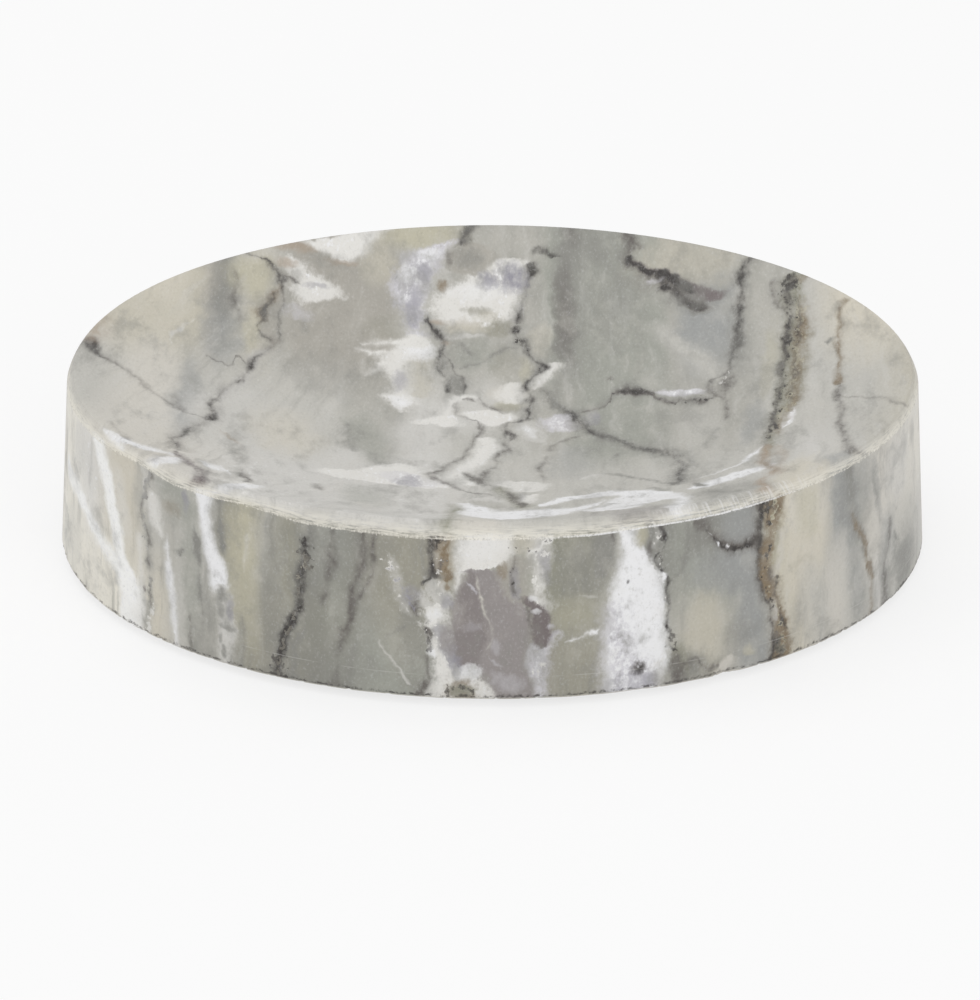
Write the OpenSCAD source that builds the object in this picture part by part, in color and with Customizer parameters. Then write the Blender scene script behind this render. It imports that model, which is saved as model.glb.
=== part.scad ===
// Round soap dish: one turned block of veined marble with a shallow dished top.
// It stands on four soft pads, each stuck to the flat underside by a disc of adhesive.
// The origin is on the surface that it stands on, under the middle of the dish.

/* [Stone] */
// Diameter at the top of the wall, just under the rim bevel
dish_d = 120; // [90:1:160]
// How much wider the stone is at its foot than at the top of the wall
foot_flare = 2.2; // [0.2:0.1:8]
// Height of the stone from its underside to its rim
dish_h = 25; // [18:0.5:40]
// Width of the ground bevel round the rim, seen from above
rim_bevel_w = 1; // [0.4:0.1:3]
// Height of the ground bevel round the rim
rim_bevel_h = 1.8; // [0.6:0.1:4]
// Width of the flat land between the bevel and the bowl
rim_land = 0.3; // [0.1:0.1:2]
// Width and height of the worn edge at the foot of the wall
foot_bevel = 0.5; // [0.2:0.1:1.5]

/* [Bowl] */
// Depth of the bowl at its middle, below the rim
bowl_depth = 9; // [4:0.5:14]

/* [Pads] */
// Diameter of a pad
pad_d = 10; // [6:0.5:16]
// Thickness of a pad
pad_t = 0.8; // [0.6:0.1:3]
// Radius of the rounded edge at the bottom of a pad
pad_edge_r = 0.3; // [0.1:0.05:0.5]
// Distance from the stone's foot edge to the nearest edge of a pad
pad_inset = 11; // [4:0.5:20]
// Angle from the side axis to the first pad, seen from above
pad_turn = 45; // [0:5:90]

/* [Adhesive] */
// Thickness of the adhesive disc between a pad and the stone
adhesive_t = 0.2; // [0.1:0.05:0.5]
// How far the adhesive stays back from the edge of its pad
adhesive_margin = 0.3; // [0.1:0.1:1]

/* [Hidden] */
$fn = 96;

// Pads stand in a square round the middle, one in each quarter turn
quarter_turn = 90;
// Cutting shapes run past the faces that they open by this much
overrun = 1;

wall_top_r = dish_d / 2;
foot_r = (dish_d + foot_flare) / 2;
rim_r = wall_top_r - rim_bevel_w;
bowl_edge_r = rim_r - rim_land;
// The bowl is a slice of a ball that meets the top face at the bowl's edge
bowl_ball_r = (pow(bowl_edge_r, 2) + pow(bowl_depth, 2)) / (2 * bowl_depth);
stone_z = pad_t + adhesive_t;
pad_ring_r = foot_r - foot_bevel - pad_inset - pad_d / 2;

stone_colour = [0.74, 0.72, 0.67];
pad_colour = [0.16, 0.16, 0.17];
adhesive_colour = [0.86, 0.84, 0.78];

// Half section of the block before the bowl is turned out of it
module stone_section() {
    polygon([
        [0, 0],
        [foot_r - foot_bevel, 0],
        [foot_r, foot_bevel],
        [wall_top_r, dish_h - rim_bevel_h],
        [rim_r, dish_h],
        [0, dish_h]
    ]);
}

// Half section of the bowl: the slice of the ball, open above the rim
module bowl_section() {
    intersection() {
        translate([0, dish_h - bowl_depth + bowl_ball_r])
            circle(r = bowl_ball_r, $fn = 360);
        square([bowl_edge_r, dish_h + overrun]);
    }
}

module stone_dish() {
    color(stone_colour)
        translate([0, 0, stone_z])
            rotate_extrude()
                difference() {
                    stone_section();
                    bowl_section();
                }
}

// Places its children under the stone, in the pad place with this number
module at_pad_place(place) {
    rotate([0, 0, pad_turn + place * quarter_turn])
        translate([pad_ring_r, 0, 0])
            children();
}

// Half section of a pad, with its lower edge rounded
module pad_section() {
    flat_r = pad_d / 2 - pad_edge_r;
    union() {
        square([flat_r, pad_t]);
        translate([0, pad_edge_r])
            square([pad_d / 2, pad_t - pad_edge_r]);
        translate([flat_r, pad_edge_r])
            circle(r = pad_edge_r);
    }
}

module pad(place) {
    color(pad_colour)
        at_pad_place(place)
            rotate_extrude()
                intersection() {
                    pad_section();
                    square([pad_d / 2, pad_t]);
                }
}

module adhesive(place) {
    color(adhesive_colour)
        at_pad_place(place)
            translate([0, 0, pad_t])
                cylinder(h = adhesive_t, r = pad_d / 2 - adhesive_margin);
}

stone_dish();
pad(0);  // pad_back_right
pad(1);  // pad_back_left
pad(2);  // pad_front_left
pad(3);  // pad_front_right
adhesive(0);  // adhesive_back_right
adhesive(1);  // adhesive_back_left
adhesive(2);  // adhesive_front_left
adhesive(3);  // adhesive_front_right
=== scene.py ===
import math

import bmesh
import bpy
from mathutils import Matrix, Quaternion, Vector, noise


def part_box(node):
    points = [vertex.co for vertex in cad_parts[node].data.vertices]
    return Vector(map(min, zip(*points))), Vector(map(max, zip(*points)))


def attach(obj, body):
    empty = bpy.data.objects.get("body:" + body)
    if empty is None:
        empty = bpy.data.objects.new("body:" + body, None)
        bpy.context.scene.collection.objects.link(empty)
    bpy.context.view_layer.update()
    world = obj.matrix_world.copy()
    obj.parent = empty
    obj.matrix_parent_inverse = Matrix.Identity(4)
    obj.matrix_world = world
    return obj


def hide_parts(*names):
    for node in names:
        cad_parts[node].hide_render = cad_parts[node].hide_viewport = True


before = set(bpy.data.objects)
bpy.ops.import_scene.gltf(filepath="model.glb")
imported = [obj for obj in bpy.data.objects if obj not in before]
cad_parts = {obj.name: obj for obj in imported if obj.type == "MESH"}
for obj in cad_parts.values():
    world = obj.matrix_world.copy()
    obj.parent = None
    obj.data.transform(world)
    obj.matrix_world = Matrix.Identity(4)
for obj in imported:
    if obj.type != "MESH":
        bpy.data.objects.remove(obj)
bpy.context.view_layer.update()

# Camera. The photograph looks down on the dish from in front, through a long lens.
# The dish lies above the middle of the picture, so the camera is aimed a little below it,
# and it is rolled by a hair, as the photograph is.
MM = 0.001
stone_low, stone_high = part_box("stone_dish")
look_down = math.radians(21.37)
view_distance = 1000 * MM
focal_length = 254.06
aim_below = 7.4 * MM
aim_left = 0.33 * MM
camera_roll = math.radians(0.14)

camera_data = bpy.data.cameras.new("camera")
camera_data.lens = focal_length
camera_data.sensor_width = 36
camera_data.clip_end = 20
camera = bpy.data.objects.new("camera", camera_data)
bpy.context.scene.collection.objects.link(camera)
dish_middle = (stone_low + stone_high) / 2
camera_up = Vector((0, math.sin(look_down), math.cos(look_down)))
camera_back = Vector((0, -math.cos(look_down), math.sin(look_down)))
camera.location = dish_middle + camera_back * view_distance
aim = dish_middle - camera_up * aim_below - Vector((aim_left, 0, 0))
camera.rotation_mode = "QUATERNION"
camera.rotation_quaternion = (
    (aim - camera.location).to_track_quat("-Z", "Y") @ Quaternion((0, 0, 1), camera_roll)
)
bpy.context.scene.camera = camera

# Stone dish. One block of veined marble, turned on a lathe and honed to a soft sheen.
# Its rim bevel is ground by hand, so its lower edge wanders, and the foot is worn and chipped.
# The marble's sheets run from front to back and stand nearly upright in the block.
stone_z = stone_low.z / MM
stone_height = (stone_high.z - stone_low.z) / MM
foot_r = (stone_high.x - stone_low.x) / 2 / MM
wall_top_r = 60.0
rim_r = 59.0
bowl_edge_r = 58.7
bowl_depth = 9.0
bowl_ball_r = (bowl_edge_r**2 + bowl_depth**2) / (2 * bowl_depth)
bowl_edge_gap = 0.35
usual_bevel_h = 1.8
foot_worn = 0.5
underside_rings = (18.0, 36.0, 50.0, 57.0, 59.6)
segments = 1440
bowl_rings = 26
wall_rings = 6
# The bevel's section: (share of its width inwards, share of its height upwards)
bevel_section = ((0.0, 0.0), (0.12, 0.2), (0.4, 0.56), (0.72, 0.86), (0.92, 0.98), (1.15, 1.0))
# The broken place at the foot: how far round it is from the front, its height, and its reach
broken_around, broken_height = 32.8, 0.3
broken_width, broken_rise = 2.4, 2.1

# Height of the rim bevel at some angles, counted from the front towards the right
bevel_heights = (
    (-180, 1.7), (-135, 1.5), (-90, 1.7), (-65, 1.7), (-55, 1.0), (-45, 1.75), (-33, 1.4),
    (-24, 2.15), (-8, 2.3), (12, 2.1), (26, 1.8), (45, 1.6), (68, 1.45), (90, 1.6), (135, 1.85),
    (180, 1.7),
)


def bevel_height(turn):
    """Height of the ground bevel at this angle from the front, in mm."""
    degrees = math.degrees(turn)
    for (first, low), (last, high) in zip(bevel_heights, bevel_heights[1:]):
        if degrees <= last:
            share = (degrees - first) / (last - first)
            share = share * share * (3 - 2 * share)
            break
    wander = noise.noise(Vector((math.sin(turn), math.cos(turn), 0)) * 25)
    return low + (high - low) * share + 0.08 * wander


def chip_depth(turn, height):
    """How far the foot is knocked back at this angle and height, in mm."""
    around = turn * wall_top_r
    nick = noise.noise(Vector((around * 0.9, height * 1.5, 3.0)))
    nick += 0.6 * noise.noise(Vector((around * 2.3, height * 3.0, 9.0)))
    worn = max(0.0, nick - 0.15) * max(0.0, 1 - height / 1.3) * 0.55
    beside = (around - broken_around) / broken_width
    above_it = (height - broken_height) / broken_rise
    broken = max(0.0, 1 - math.hypot(beside, above_it)) * 0.7
    return worn + broken * (0.75 + 0.5 * nick)


def stone_profile(turn):
    """Half section at this angle: (radius, height, way along it).

    The way is 0 at the lower edge of the bevel and 1 at its upper edge, and counts mm beyond.
    """
    edge_z = stone_height - bevel_height(turn)
    foot = 0.42 + 0.16 * noise.noise(Vector((turn * 14, 5.0, 1.0)))
    section = [(radius, 0.0) for radius in underside_rings]
    section += [(foot_r - foot, 0.0), (foot_r - foot * 0.35, foot * 0.3), (foot_r, foot)]
    wall_heights = [foot + step for step in (0.25, 0.5, 0.8, 1.2, 1.7, 2.4)]
    wall_span = edge_z - 3.4 - foot
    wall_heights += [2.9 + foot + wall_span * step / wall_rings for step in range(wall_rings + 1)]
    wall_heights += [edge_z - 0.18]
    slope = (foot_r - wall_top_r) / (stone_height - usual_bevel_h - foot_worn)
    for height in wall_heights:
        section.append((foot_r - (height - foot) * slope, height))
    section = [(radius - chip_depth(turn, height), height) for radius, height in section]
    rough = 0.05 * noise.noise(Vector((turn * wall_top_r * 1.3, 0.0, 17.0)))
    bevel_w = wall_top_r - rim_r
    bevel_foot_r = foot_r - (edge_z - foot) * slope
    for out, up in bevel_section:
        radius = bevel_foot_r - out * (bevel_w + rough)
        section.append((radius, edge_z + up * (stone_height - edge_z)))
    ball_z = stone_height - bowl_depth + bowl_ball_r
    for ring in range(bowl_rings):
        share = 1 - ring / bowl_rings
        radius = (bowl_edge_r - bowl_edge_gap) * share
        section.append((radius, ball_z - math.sqrt(bowl_ball_r**2 - radius**2)))
    bevel_start = len(section) - bowl_rings - len(bevel_section)
    bevel_end = bevel_start + len(bevel_section) - 1
    bevel_length = math.dist(section[bevel_start], section[bevel_end])
    way = [0.0] * len(section)
    for step in range(1, len(section) - bevel_start):
        scale = bevel_length if bevel_start + step <= bevel_end else 1.0
        here, before = bevel_start + step, bevel_start + step - 1
        way[here] = way[before] + math.dist(section[here], section[before]) / scale
    for here in range(bevel_start - 1, -1, -1):
        way[here] = way[here + 1] - math.dist(section[here], section[here + 1])
    return [(radius, height, along) for (radius, height), along in zip(section, way)]


# The way across the bevel is kept in the mesh up to this many mm beyond it
way_limit = 8.0
crease_angle = math.radians(28)


def turned_stone(name):
    """The dish's mesh: the half section swept round, closed at both middles."""
    stone = bmesh.new()
    bevel_way = stone.verts.layers.float.new("bevel_way")
    rings = []
    for segment in range(segments):
        turn = (segment / segments * 2 - 1) * math.pi
        ring = []
        for radius, height, along in stone_profile(turn):
            place = Vector((math.sin(turn) * radius, -math.cos(turn) * radius, height + stone_z))
            vertex = stone.verts.new(place * MM)
            vertex[bevel_way] = max(-way_limit, min(way_limit, along))
            ring.append(vertex)
        rings.append(ring)
    under = stone.verts.new((0, 0, stone_z * MM))
    under[bevel_way] = -way_limit
    bowl_middle = stone.verts.new((0, 0, (stone_z + stone_height - bowl_depth) * MM))
    bowl_middle[bevel_way] = way_limit
    for ring, following in zip(rings, rings[1:] + rings[:1]):
        stone.faces.new((under, following[0], ring[0]))
        stone.faces.new((bowl_middle, ring[-2], following[-2]))
        for low in range(len(ring) - 2):
            stone.faces.new((ring[low], following[low], following[low + 1], ring[low + 1]))
    for ring in rings:
        stone.verts.remove(ring[-1])
    bmesh.ops.recalc_face_normals(stone, faces=stone.faces)
    mesh = bpy.data.meshes.new(name)
    stone.to_mesh(mesh)
    stone.free()
    mesh.shade_smooth()
    mesh.set_sharp_from_angle(angle=crease_angle)
    piece = bpy.data.objects.new(name, mesh)
    bpy.context.scene.collection.objects.link(piece)
    return piece


class Shade:
    """One output of a node in a material. Arithmetic on it adds Math nodes."""

    def __init__(self, tree, socket=None):
        self.tree = tree
        self.socket = socket

    def node(self, kind, settings, inputs, output=0):
        """Adds a node of this kind, sets it, then fills its inputs with values or links."""
        made = self.tree.nodes.new(kind)
        for name, value in settings.items():
            if name == "stops":
                elements = made.color_ramp.elements
                elements[0].position, elements[0].color = value[0]
                elements[1].position, elements[1].color = value[-1]
                for position, colour in value[1:-1]:
                    elements.new(position).color = colour
            elif name == "curve":
                made.mapping.use_clip = False
                made.mapping.extend = "HORIZONTAL"
                points = made.mapping.curves[0].points
                points[0].location = value[0]
                points[1].location = value[-1]
                for place, height in value[1:-1]:
                    points.new(place, height)
                made.mapping.update()
            else:
                setattr(made, name, value)
        for name, value in inputs.items():
            if isinstance(value, Shade):
                self.tree.links.new(value.socket, made.inputs[name])
            else:
                made.inputs[name].default_value = value
        return None if output is None else Shade(self.tree, made.outputs[output])

    def math(self, operation, *values):
        inputs = dict(enumerate((self,) + values))
        return self.node("ShaderNodeMath", {"operation": operation}, inputs)

    def __add__(self, other):
        return self.math("ADD", other)

    __radd__ = __add__

    def __sub__(self, other):
        return self.math("SUBTRACT", other)

    def __rsub__(self, other):
        return self.math("MULTIPLY_ADD", -1.0, other)

    def __mul__(self, other):
        return self.math("MULTIPLY", other)

    __rmul__ = __mul__

    def rise(self, low, high, top=1.0):
        """0 below low, top above high, and smooth between them."""
        settings = {"interpolation_type": "SMOOTHSTEP", "clamp": False}
        return self.node("ShaderNodeMapRange", settings, {0: self, 1: low, 2: high, 4: top})

    def cover(self, colour, mask):
        """This colour with another laid over it where the mask is 1."""
        settings = {"data_type": "RGBA"}
        return self.node("ShaderNodeMix", settings, {0: mask, 6: self, 7: colour}, 2)


def tone(red, green, blue):
    """A colour as it looks in the photograph, from 0 to 255, as the shader wants it."""
    levels = (value / 255 for value in (red, green, blue))
    linear = [((v + 0.055) / 1.055) ** 2.4 if v > 0.04 else v / 12.92 for v in levels]
    return (*linear, 1.0)


cream = tone(206, 200, 185)
shell = tone(204, 200, 191)
fog = tone(204, 202, 197)
pearl = tone(189, 187, 180)
sand = tone(190, 185, 170)
straw = tone(187, 182, 160)
ash = tone(172, 170, 162)
taupe = tone(165, 161, 152)
sage = tone(155, 156, 147)
slate = tone(153, 154, 152)
smoke = tone(135, 134, 128)
olive = tone(153, 150, 137)
moss = tone(142, 141, 126)
bone = tone(225, 223, 218)
milk = tone(237, 237, 238)
mist = tone(233, 229, 217)
lilac = tone(205, 203, 208)
heather = tone(145, 143, 152)
mauve = tone(145, 139, 137)
plum = tone(112, 103, 102)
umber = tone(128, 112, 88)
rust = tone(164, 148, 130)
soot = tone(98, 93, 88)
ink = tone(48, 43, 40)
chalk = tone(240, 236, 226)
snow = tone(250, 250, 248)

marble = bpy.data.materials.new("honed_marble")
marble.use_nodes = True
marble_tree = marble.node_tree
start = Shade(marble_tree)
object_place = start.node("ShaderNodeTexCoord", {}, {}, "Object")
place = object_place.node(
    "ShaderNodeVectorMath", {"operation": "SCALE"}, {0: object_place, "Scale": 1 / MM}
)
split = place.node("ShaderNodeSeparateXYZ", {}, {0: place})
split_outputs = split.socket.node.outputs
plain_x, plain_y, plain_z = (Shade(marble_tree, split_outputs[axis]) for axis in "XYZ")
height = plain_z - stone_z
radius = (plain_x * plain_x + plain_y * plain_y).math("SQRT")
around = plain_x.math("ARCTAN2", plain_y * -1.0) * wall_top_r
bevel_way = start.node("ShaderNodeAttribute", {"attribute_name": "bevel_way"}, {}, "Fac")
grain_place = plain_x.node(
    "ShaderNodeCombineXYZ", {}, {"X": plain_x, "Y": plain_y * 0.4, "Z": plain_z * 0.8}
)


def clouds(scale, detail=2.0, roughness=0.5, vector=grain_place, output="Fac"):
    """Noise in the stone, drawn out along its sheets; scale is in repeats for each mm."""
    inputs = {"Vector": vector, "Scale": scale, "Detail": detail, "Roughness": roughness}
    return vector.node("ShaderNodeTexNoise", {}, inputs, output)


def red_green(colour):
    """The first two parts of a noise colour, about zero."""
    parts = colour.node("ShaderNodeSeparateColor", {}, {0: colour}).socket.node.outputs
    return Shade(marble_tree, parts[0]) - 0.5, Shade(marble_tree, parts[1]) - 0.5


# Noise in the stone. All of it comes before the patterns that it bends, because Cycles
# works through a material in that order and has little room for values that wait.
sway_x, sway_y = red_green(clouds(0.035, 2.0, 0.5, place, "Color"))
drift_x, drift_y = red_green(clouds(0.17, 2.0, 0.5, place, "Color"))
crumb_x, crumb_y = red_green(clouds(0.8, 3.0, 0.6, grain_place, "Color"))
flame = clouds(0.35, 4.0, 0.65) - 0.5
torn = clouds(1.3, 3.0, 0.6) - 0.5
sugar = clouds(2.4, 3.0, 0.7) - 0.5
frayed = flame * 2.6 + torn * 1.4 + sugar * 1.2
uneven = flame * 0.9 + torn * 0.5
# Faint streaks along the sheets; on the left of the bowl they lean with the main vein
lean = plain_x.rise(-8, -30, -0.3) * plain_y
streak_place = plain_x.node(
    "ShaderNodeCombineXYZ",
    {},
    {"X": plain_x + lean + drift_x * 3.0, "Y": plain_y * 0.09, "Z": plain_z * 0.13},
)
streaks = clouds(0.55, 4.0, 0.6, streak_place)

# Where a point lies in the bowl's pattern. The sides, the back and the underside show the
# same sheets further down, where they have drifted.
in_bowl = bevel_way.rise(0.2, 1.0)
sunk = (1 - in_bowl) * (stone_height - height)
shrink = in_bowl.math("MULTIPLY_ADD", 0.035, 0.965)
warp_x = drift_x * 2.5 + crumb_x * 1.2 + streaks - 0.5
warp_y = drift_y * 3.5 + crumb_y * 1.8 + streaks * 1.5 - 0.75
bowl_x = plain_x * shrink + sunk * 0.14 + sunk * sway_x * 0.8 + warp_x
bowl_y = plain_y * shrink - sunk * 0.25 + sunk * sway_y * 0.8 + warp_y
# Where it lies in the wall's pattern: round the wall from the front, and up from the foot.
# The underside goes on inward from the foot.
wall_x = around + warp_x * 0.8 + flame * 0.1
wall_y = height - (foot_r - radius) * height.rise(0.6, 0.2) + warp_y * 0.8


def between(edges):
    """The middle line and half width of a patch from (one edge, other edge, how far along)."""
    return [((low + high) / 2, along, (high - low) / 2) for low, high, along in edges]


def lengthwise(across, along, points):
    """The same, with across and along changed round if the vein runs mostly across."""
    ways = [point[1] for point in points]
    sides = [point[0] for point in points]
    steady = sorted(ways) in (ways, ways[::-1])
    longer = abs(ways[-1] - ways[0]) >= abs(sides[-1] - sides[0])
    if not steady or (not longer and sorted(sides) in (sides, sides[::-1])):
        across, along = along, across
        points = [(way, side, half) for side, way, half in points]
    return across, along, points


def ribbon(across, along, points):
    """Depth inside a vein or patch, in mm, and below 0 outside it.

    points are (across, along, half its width). Both ends are closed a little beyond the last points.
    """
    points = sorted(points, key=lambda point: point[1])
    (first, low, first_half), (last, high, last_half) = points[0], points[-1]
    points.insert(0, (first, low - 0.4 - 0.4 * abs(first_half), -4.0))
    points.append((last, high + 0.4 + 0.4 * abs(last_half), -4.0))
    middles = [(way, side) for side, way, half in points]
    halves = [(way, half or -1.0) for side, way, half in points]
    middle = along.node("ShaderNodeFloatCurve", {"curve": middles}, {"Value": along})
    half = along.node("ShaderNodeFloatCurve", {"curve": halves}, {"Value": along})
    return half - (middle - across).math("ABSOLUTE")


def blot(across, along, middle, size, turn):
    """Depth inside a soft oval, from 1 at its middle to 0 at its edge."""
    parts = []
    for row, reach in zip(Matrix.Rotation(math.radians(-turn), 2), size):
        part = along.math("MULTIPLY_ADD", row[1] / reach, -(row @ Vector(middle)) / reach)
        parts.append(across.math("MULTIPLY_ADD", row[0] / reach, part))
    return 1 - parts[0].math("MULTIPLY_ADD", parts[0], parts[1] * parts[1])


def bands(across, reach, stops):
    """Bands of colour side by side; stops are (place in mm, colour)."""
    share = across.math("MULTIPLY_ADD", 0.5 / reach, 0.5)
    ramp = [(place / reach / 2 + 0.5, colour) for place, colour in stops]
    return share.node("ShaderNodeValToRGB", {"stops": ramp}, {0: share})


def cloud(across, along, noise, strength, middle, size, turn):
    """Mask of a soft oval with a ragged edge."""
    depth = noise.math("MULTIPLY_ADD", 1.8, blot(across, along, middle, size, turn))
    return depth.rise(-0.35, 1.2, strength)


def patch(across, along, noise, strength, soft, ragged, edges):
    """Mask of a patch given by its two edges."""
    depth = noise.math("MULTIPLY_ADD", 0.6 * ragged, ribbon(across, along, between(edges)))
    return depth.rise(-2.0 * soft, 3.6 * soft, strength)


def vein(across, along, noise, strength, soft, ragged, points):
    """Mask of a vein given by its middle line and half its width: full inside, with a soft halo."""
    depth = ribbon(*lengthwise(across, along, points))
    top = noise.math("MULTIPLY_ADD", 1.1, strength**0.5)
    mask = noise.math("MULTIPLY_ADD", 0.8 * ragged, depth).rise(-5.5 * soft, 2 * soft, top)
    return mask * mask


def crisper(soft):
    """The softness of most of the wall's veins, which have crisper edges than those of the bowl."""
    return round(0.6 * soft, 2)


# Half the width, in mm, that a vein keeps where none would be left, because it closes at 0
hair = 0.02


def thinner(less, points):
    """A vein's points with this much, in mm, taken off half its width, and its ends left closed."""
    return [
        (across, along, (round(half - less, 2) or hair) if half else 0)
        for across, along, half in points
    ]


rows_in_group = 12


def laid_over(base, name, mask, across, along, noise, rows):
    """A colour with other colours laid over it; each row is a colour and what its mask needs.

    They go into node groups of a few rows each, because Blender slows down in a long node tree.
    """
    for first in range(0, len(rows), rows_in_group):
        group = bpy.data.node_groups.new(name, "ShaderNodeTree")
        names = ("Colour", "Across", "Along", "Noise")
        for socket_name in names:
            kind = "NodeSocketColor" if socket_name == "Colour" else "NodeSocketFloat"
            group.interface.new_socket(socket_name, in_out="INPUT", socket_type=kind)
        group.interface.new_socket("Colour", in_out="OUTPUT", socket_type="NodeSocketColor")
        given = group.nodes.new("NodeGroupInput").outputs
        colour, side, way, wobble = (Shade(group, given[socket_name]) for socket_name in names)
        for over, *settings in rows[first : first + rows_in_group]:
            colour = colour.cover(over, mask(side, way, wobble, *settings))
        colour.node("NodeGroupOutput", {}, {"Colour": colour}, None)
        inputs = dict(zip(names, (base, across, along, noise)))
        base = base.node("ShaderNodeGroup", {"node_tree": group}, inputs)
    return base


# Broad bands of the bowl, across it at the back, in the middle and at the front
half_bowl = 60
far_bands = bands(bowl_x, half_bowl, (
    (-60, cream), (-47, cream), (-43, sand), (-41, taupe), (-39, smoke), (-37, ash), (-34.5, sand),
    (-31, ash), (-28, taupe), (-21, taupe), (-16, taupe), (-12, pearl), (-6, ash), (2, ash),
    (6.5, ash), (8.5, sage), (10.5, smoke), (14, sage), (18, sage), (24, sage), (26, ash),
    (29, slate), (33, slate), (38, ash), (42, ash), (46, pearl), (50, cream), (60, cream),
))
middle_bands = bands(bowl_x, half_bowl, (
    (-60, pearl), (-56, pearl), (-50, shell), (-46, shell), (-43.5, slate), (-41, pearl),
    (-37, pearl), (-30, pearl), (-22, pearl), (-19, ash), (-14, ash), (-10, fog), (-5, pearl),
    (2, pearl), (8, ash), (14, sage), (21, sage), (27, ash), (31, ash), (36, ash), (39.5, pearl),
    (44, pearl), (50, pearl), (53, pearl), (60, sand),
))
near_bands = bands(bowl_x, half_bowl, (
    (-60, shell), (-45, shell), (-33, fog), (-20, fog), (-8, fog), (5, pearl), (8, pearl),
    (20, pearl), (30, pearl), (36, pearl), (40, pearl), (44, fog), (50, pearl), (60, sand),
))
bowl = near_bands.cover(middle_bands, bowl_y.rise(-28, -8))
bowl = bowl.cover(far_bands, bowl_y.rise(4, 26))

# Faint streaks that follow the sheets
bowl = bowl.cover(smoke, streaks.rise(0.5, 0.75, 0.35))
bowl = bowl.cover(fog, streaks.rise(0.5, 0.3, 0.3))

# Soft clouds in the bowl: colour, strength, middle, half its length and width, turn
bowl = laid_over(bowl, "bowl_clouds", cloud, bowl_x, bowl_y, flame, (
    (sand, 0.7, (-51, 24), (8, 20), 12),
    (shell, 0.8, (-47, 7), (5, 11), 10),
    (shell, 0.5, (-50, -12), (6, 9), 0),
    (smoke, 0.75, (-38.8, 33), (2.4, 7.5), 8),
    (slate, 0.45, (-39.5, 22), (3.2, 11), 4),
    (slate, 0.55, (-42.8, 2), (1.9, 10), 3),
    (straw, 0.8, (-35.3, 41), (4.2, 7), -8),
    (straw, 0.6, (-34.8, 25), (1.5, 7), 0),
    (taupe, 0.7, (-28, 28), (3.6, 9), 0),
    (taupe, 0.9, (-22, 30), (5.5, 12), 5),
    (smoke, 0.3, (-24, 14), (6, 10), 18),
    (taupe, 0.9, (-21.5, 45), (8.5, 6.5), -20),
    (sand, 0.8, (-16.5, 49), (3.4, 8), 0),
    (straw, 0.9, (-11, 56), (7.5, 4.5), 8),
    (rust, 0.75, (-29, 50), (4.5, 1.8), 10),
    (taupe, 0.8, (-17, 36), (4.5, 6), 0),
    (olive, 0.45, (-16, 30), (3.5, 5), 0),
    (sage, 0.65, (-17.5, -9), (3.2, 13), 8),
    (sage, 0.5, (-17.5, -40), (4, 10), 10),
    (fog, 0.7, (-11, -6), (5, 9), 0),
    (fog, 0.8, (-5, 3), (6, 8), 0),
    (fog, 0.5, (-1, 8), (4, 8), 0),
    (sage, 0.7, (-2.5, 23.5), (4, 6.5), 0),
    (olive, 0.5, (1.8, 20), (2.6, 7), 0),
    (straw, 0.6, (4.6, 19), (1.3, 5), 0),
    (shell, 0.9, (1.8, 11.5), (2.9, 2.8), 0),
    (straw, 0.6, (2.2, 7), (2.6, 2), 0),
    (soot, 0.6, (10.4, 35), (1.9, 16), 0),
    (smoke, 0.7, (14, 53), (5, 7), 0),
    (smoke, 0.45, (17, 38), (6, 16), 0),
    (cream, 0.5, (7, 28), (2.0, 5), 0),
    (olive, 0.7, (2, 6), (2.4, 2), 0),
    (pearl, 0.5, (7, -22), (7, 12), 0),
    (slate, 0.45, (11, -18), (4, 10), 0),
    (fog, 0.6, (-36, -8), (12, 14), 0),
    (cream, 0.6, (-29, -10), (6, 12), 10),
    (fog, 0.8, (-20.5, -18), (3.4, 7), 0),
    (fog, 0.8, (-10, -17), (4, 6), 0),
    (pearl, 0.8, (29, -9), (4, 12), 0),
    (fog, 0.5, (38, -32), (8, 6), 0),
    (fog, 0.6, (-9, -56), (6, 5), 0),
    (sand, 0.9, (29, 47), (9, 9.5), 38),
    (smoke, 0.5, (30.5, 36), (4, 4), 30),
    (slate, 0.9, (29.8, 27), (3.4, 11), 0),
    (ash, 0.6, (39, 27), (3, 14), 0),
    (cream, 0.7, (55.5, 18), (4.5, 15), -12),
    (slate, 0.7, (36.4, -9), (1.9, 11), -8),
    (straw, 0.5, (39.6, 14), (1.4, 14), -4),
    (slate, 0.7, (47.5, -35.5), (3.6, 4.5), 0),
    (cream, 0.9, (41.5, -39), (4.4, 11), -8),
    (smoke, 0.6, (32.5, -44.5), (6.5, 6), 15),
    (mauve, 0.55, (19.5, -54), (7, 4.5), 0),
    (shell, 0.6, (-2.5, -58.5), (4, 3), 0),
))

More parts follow.
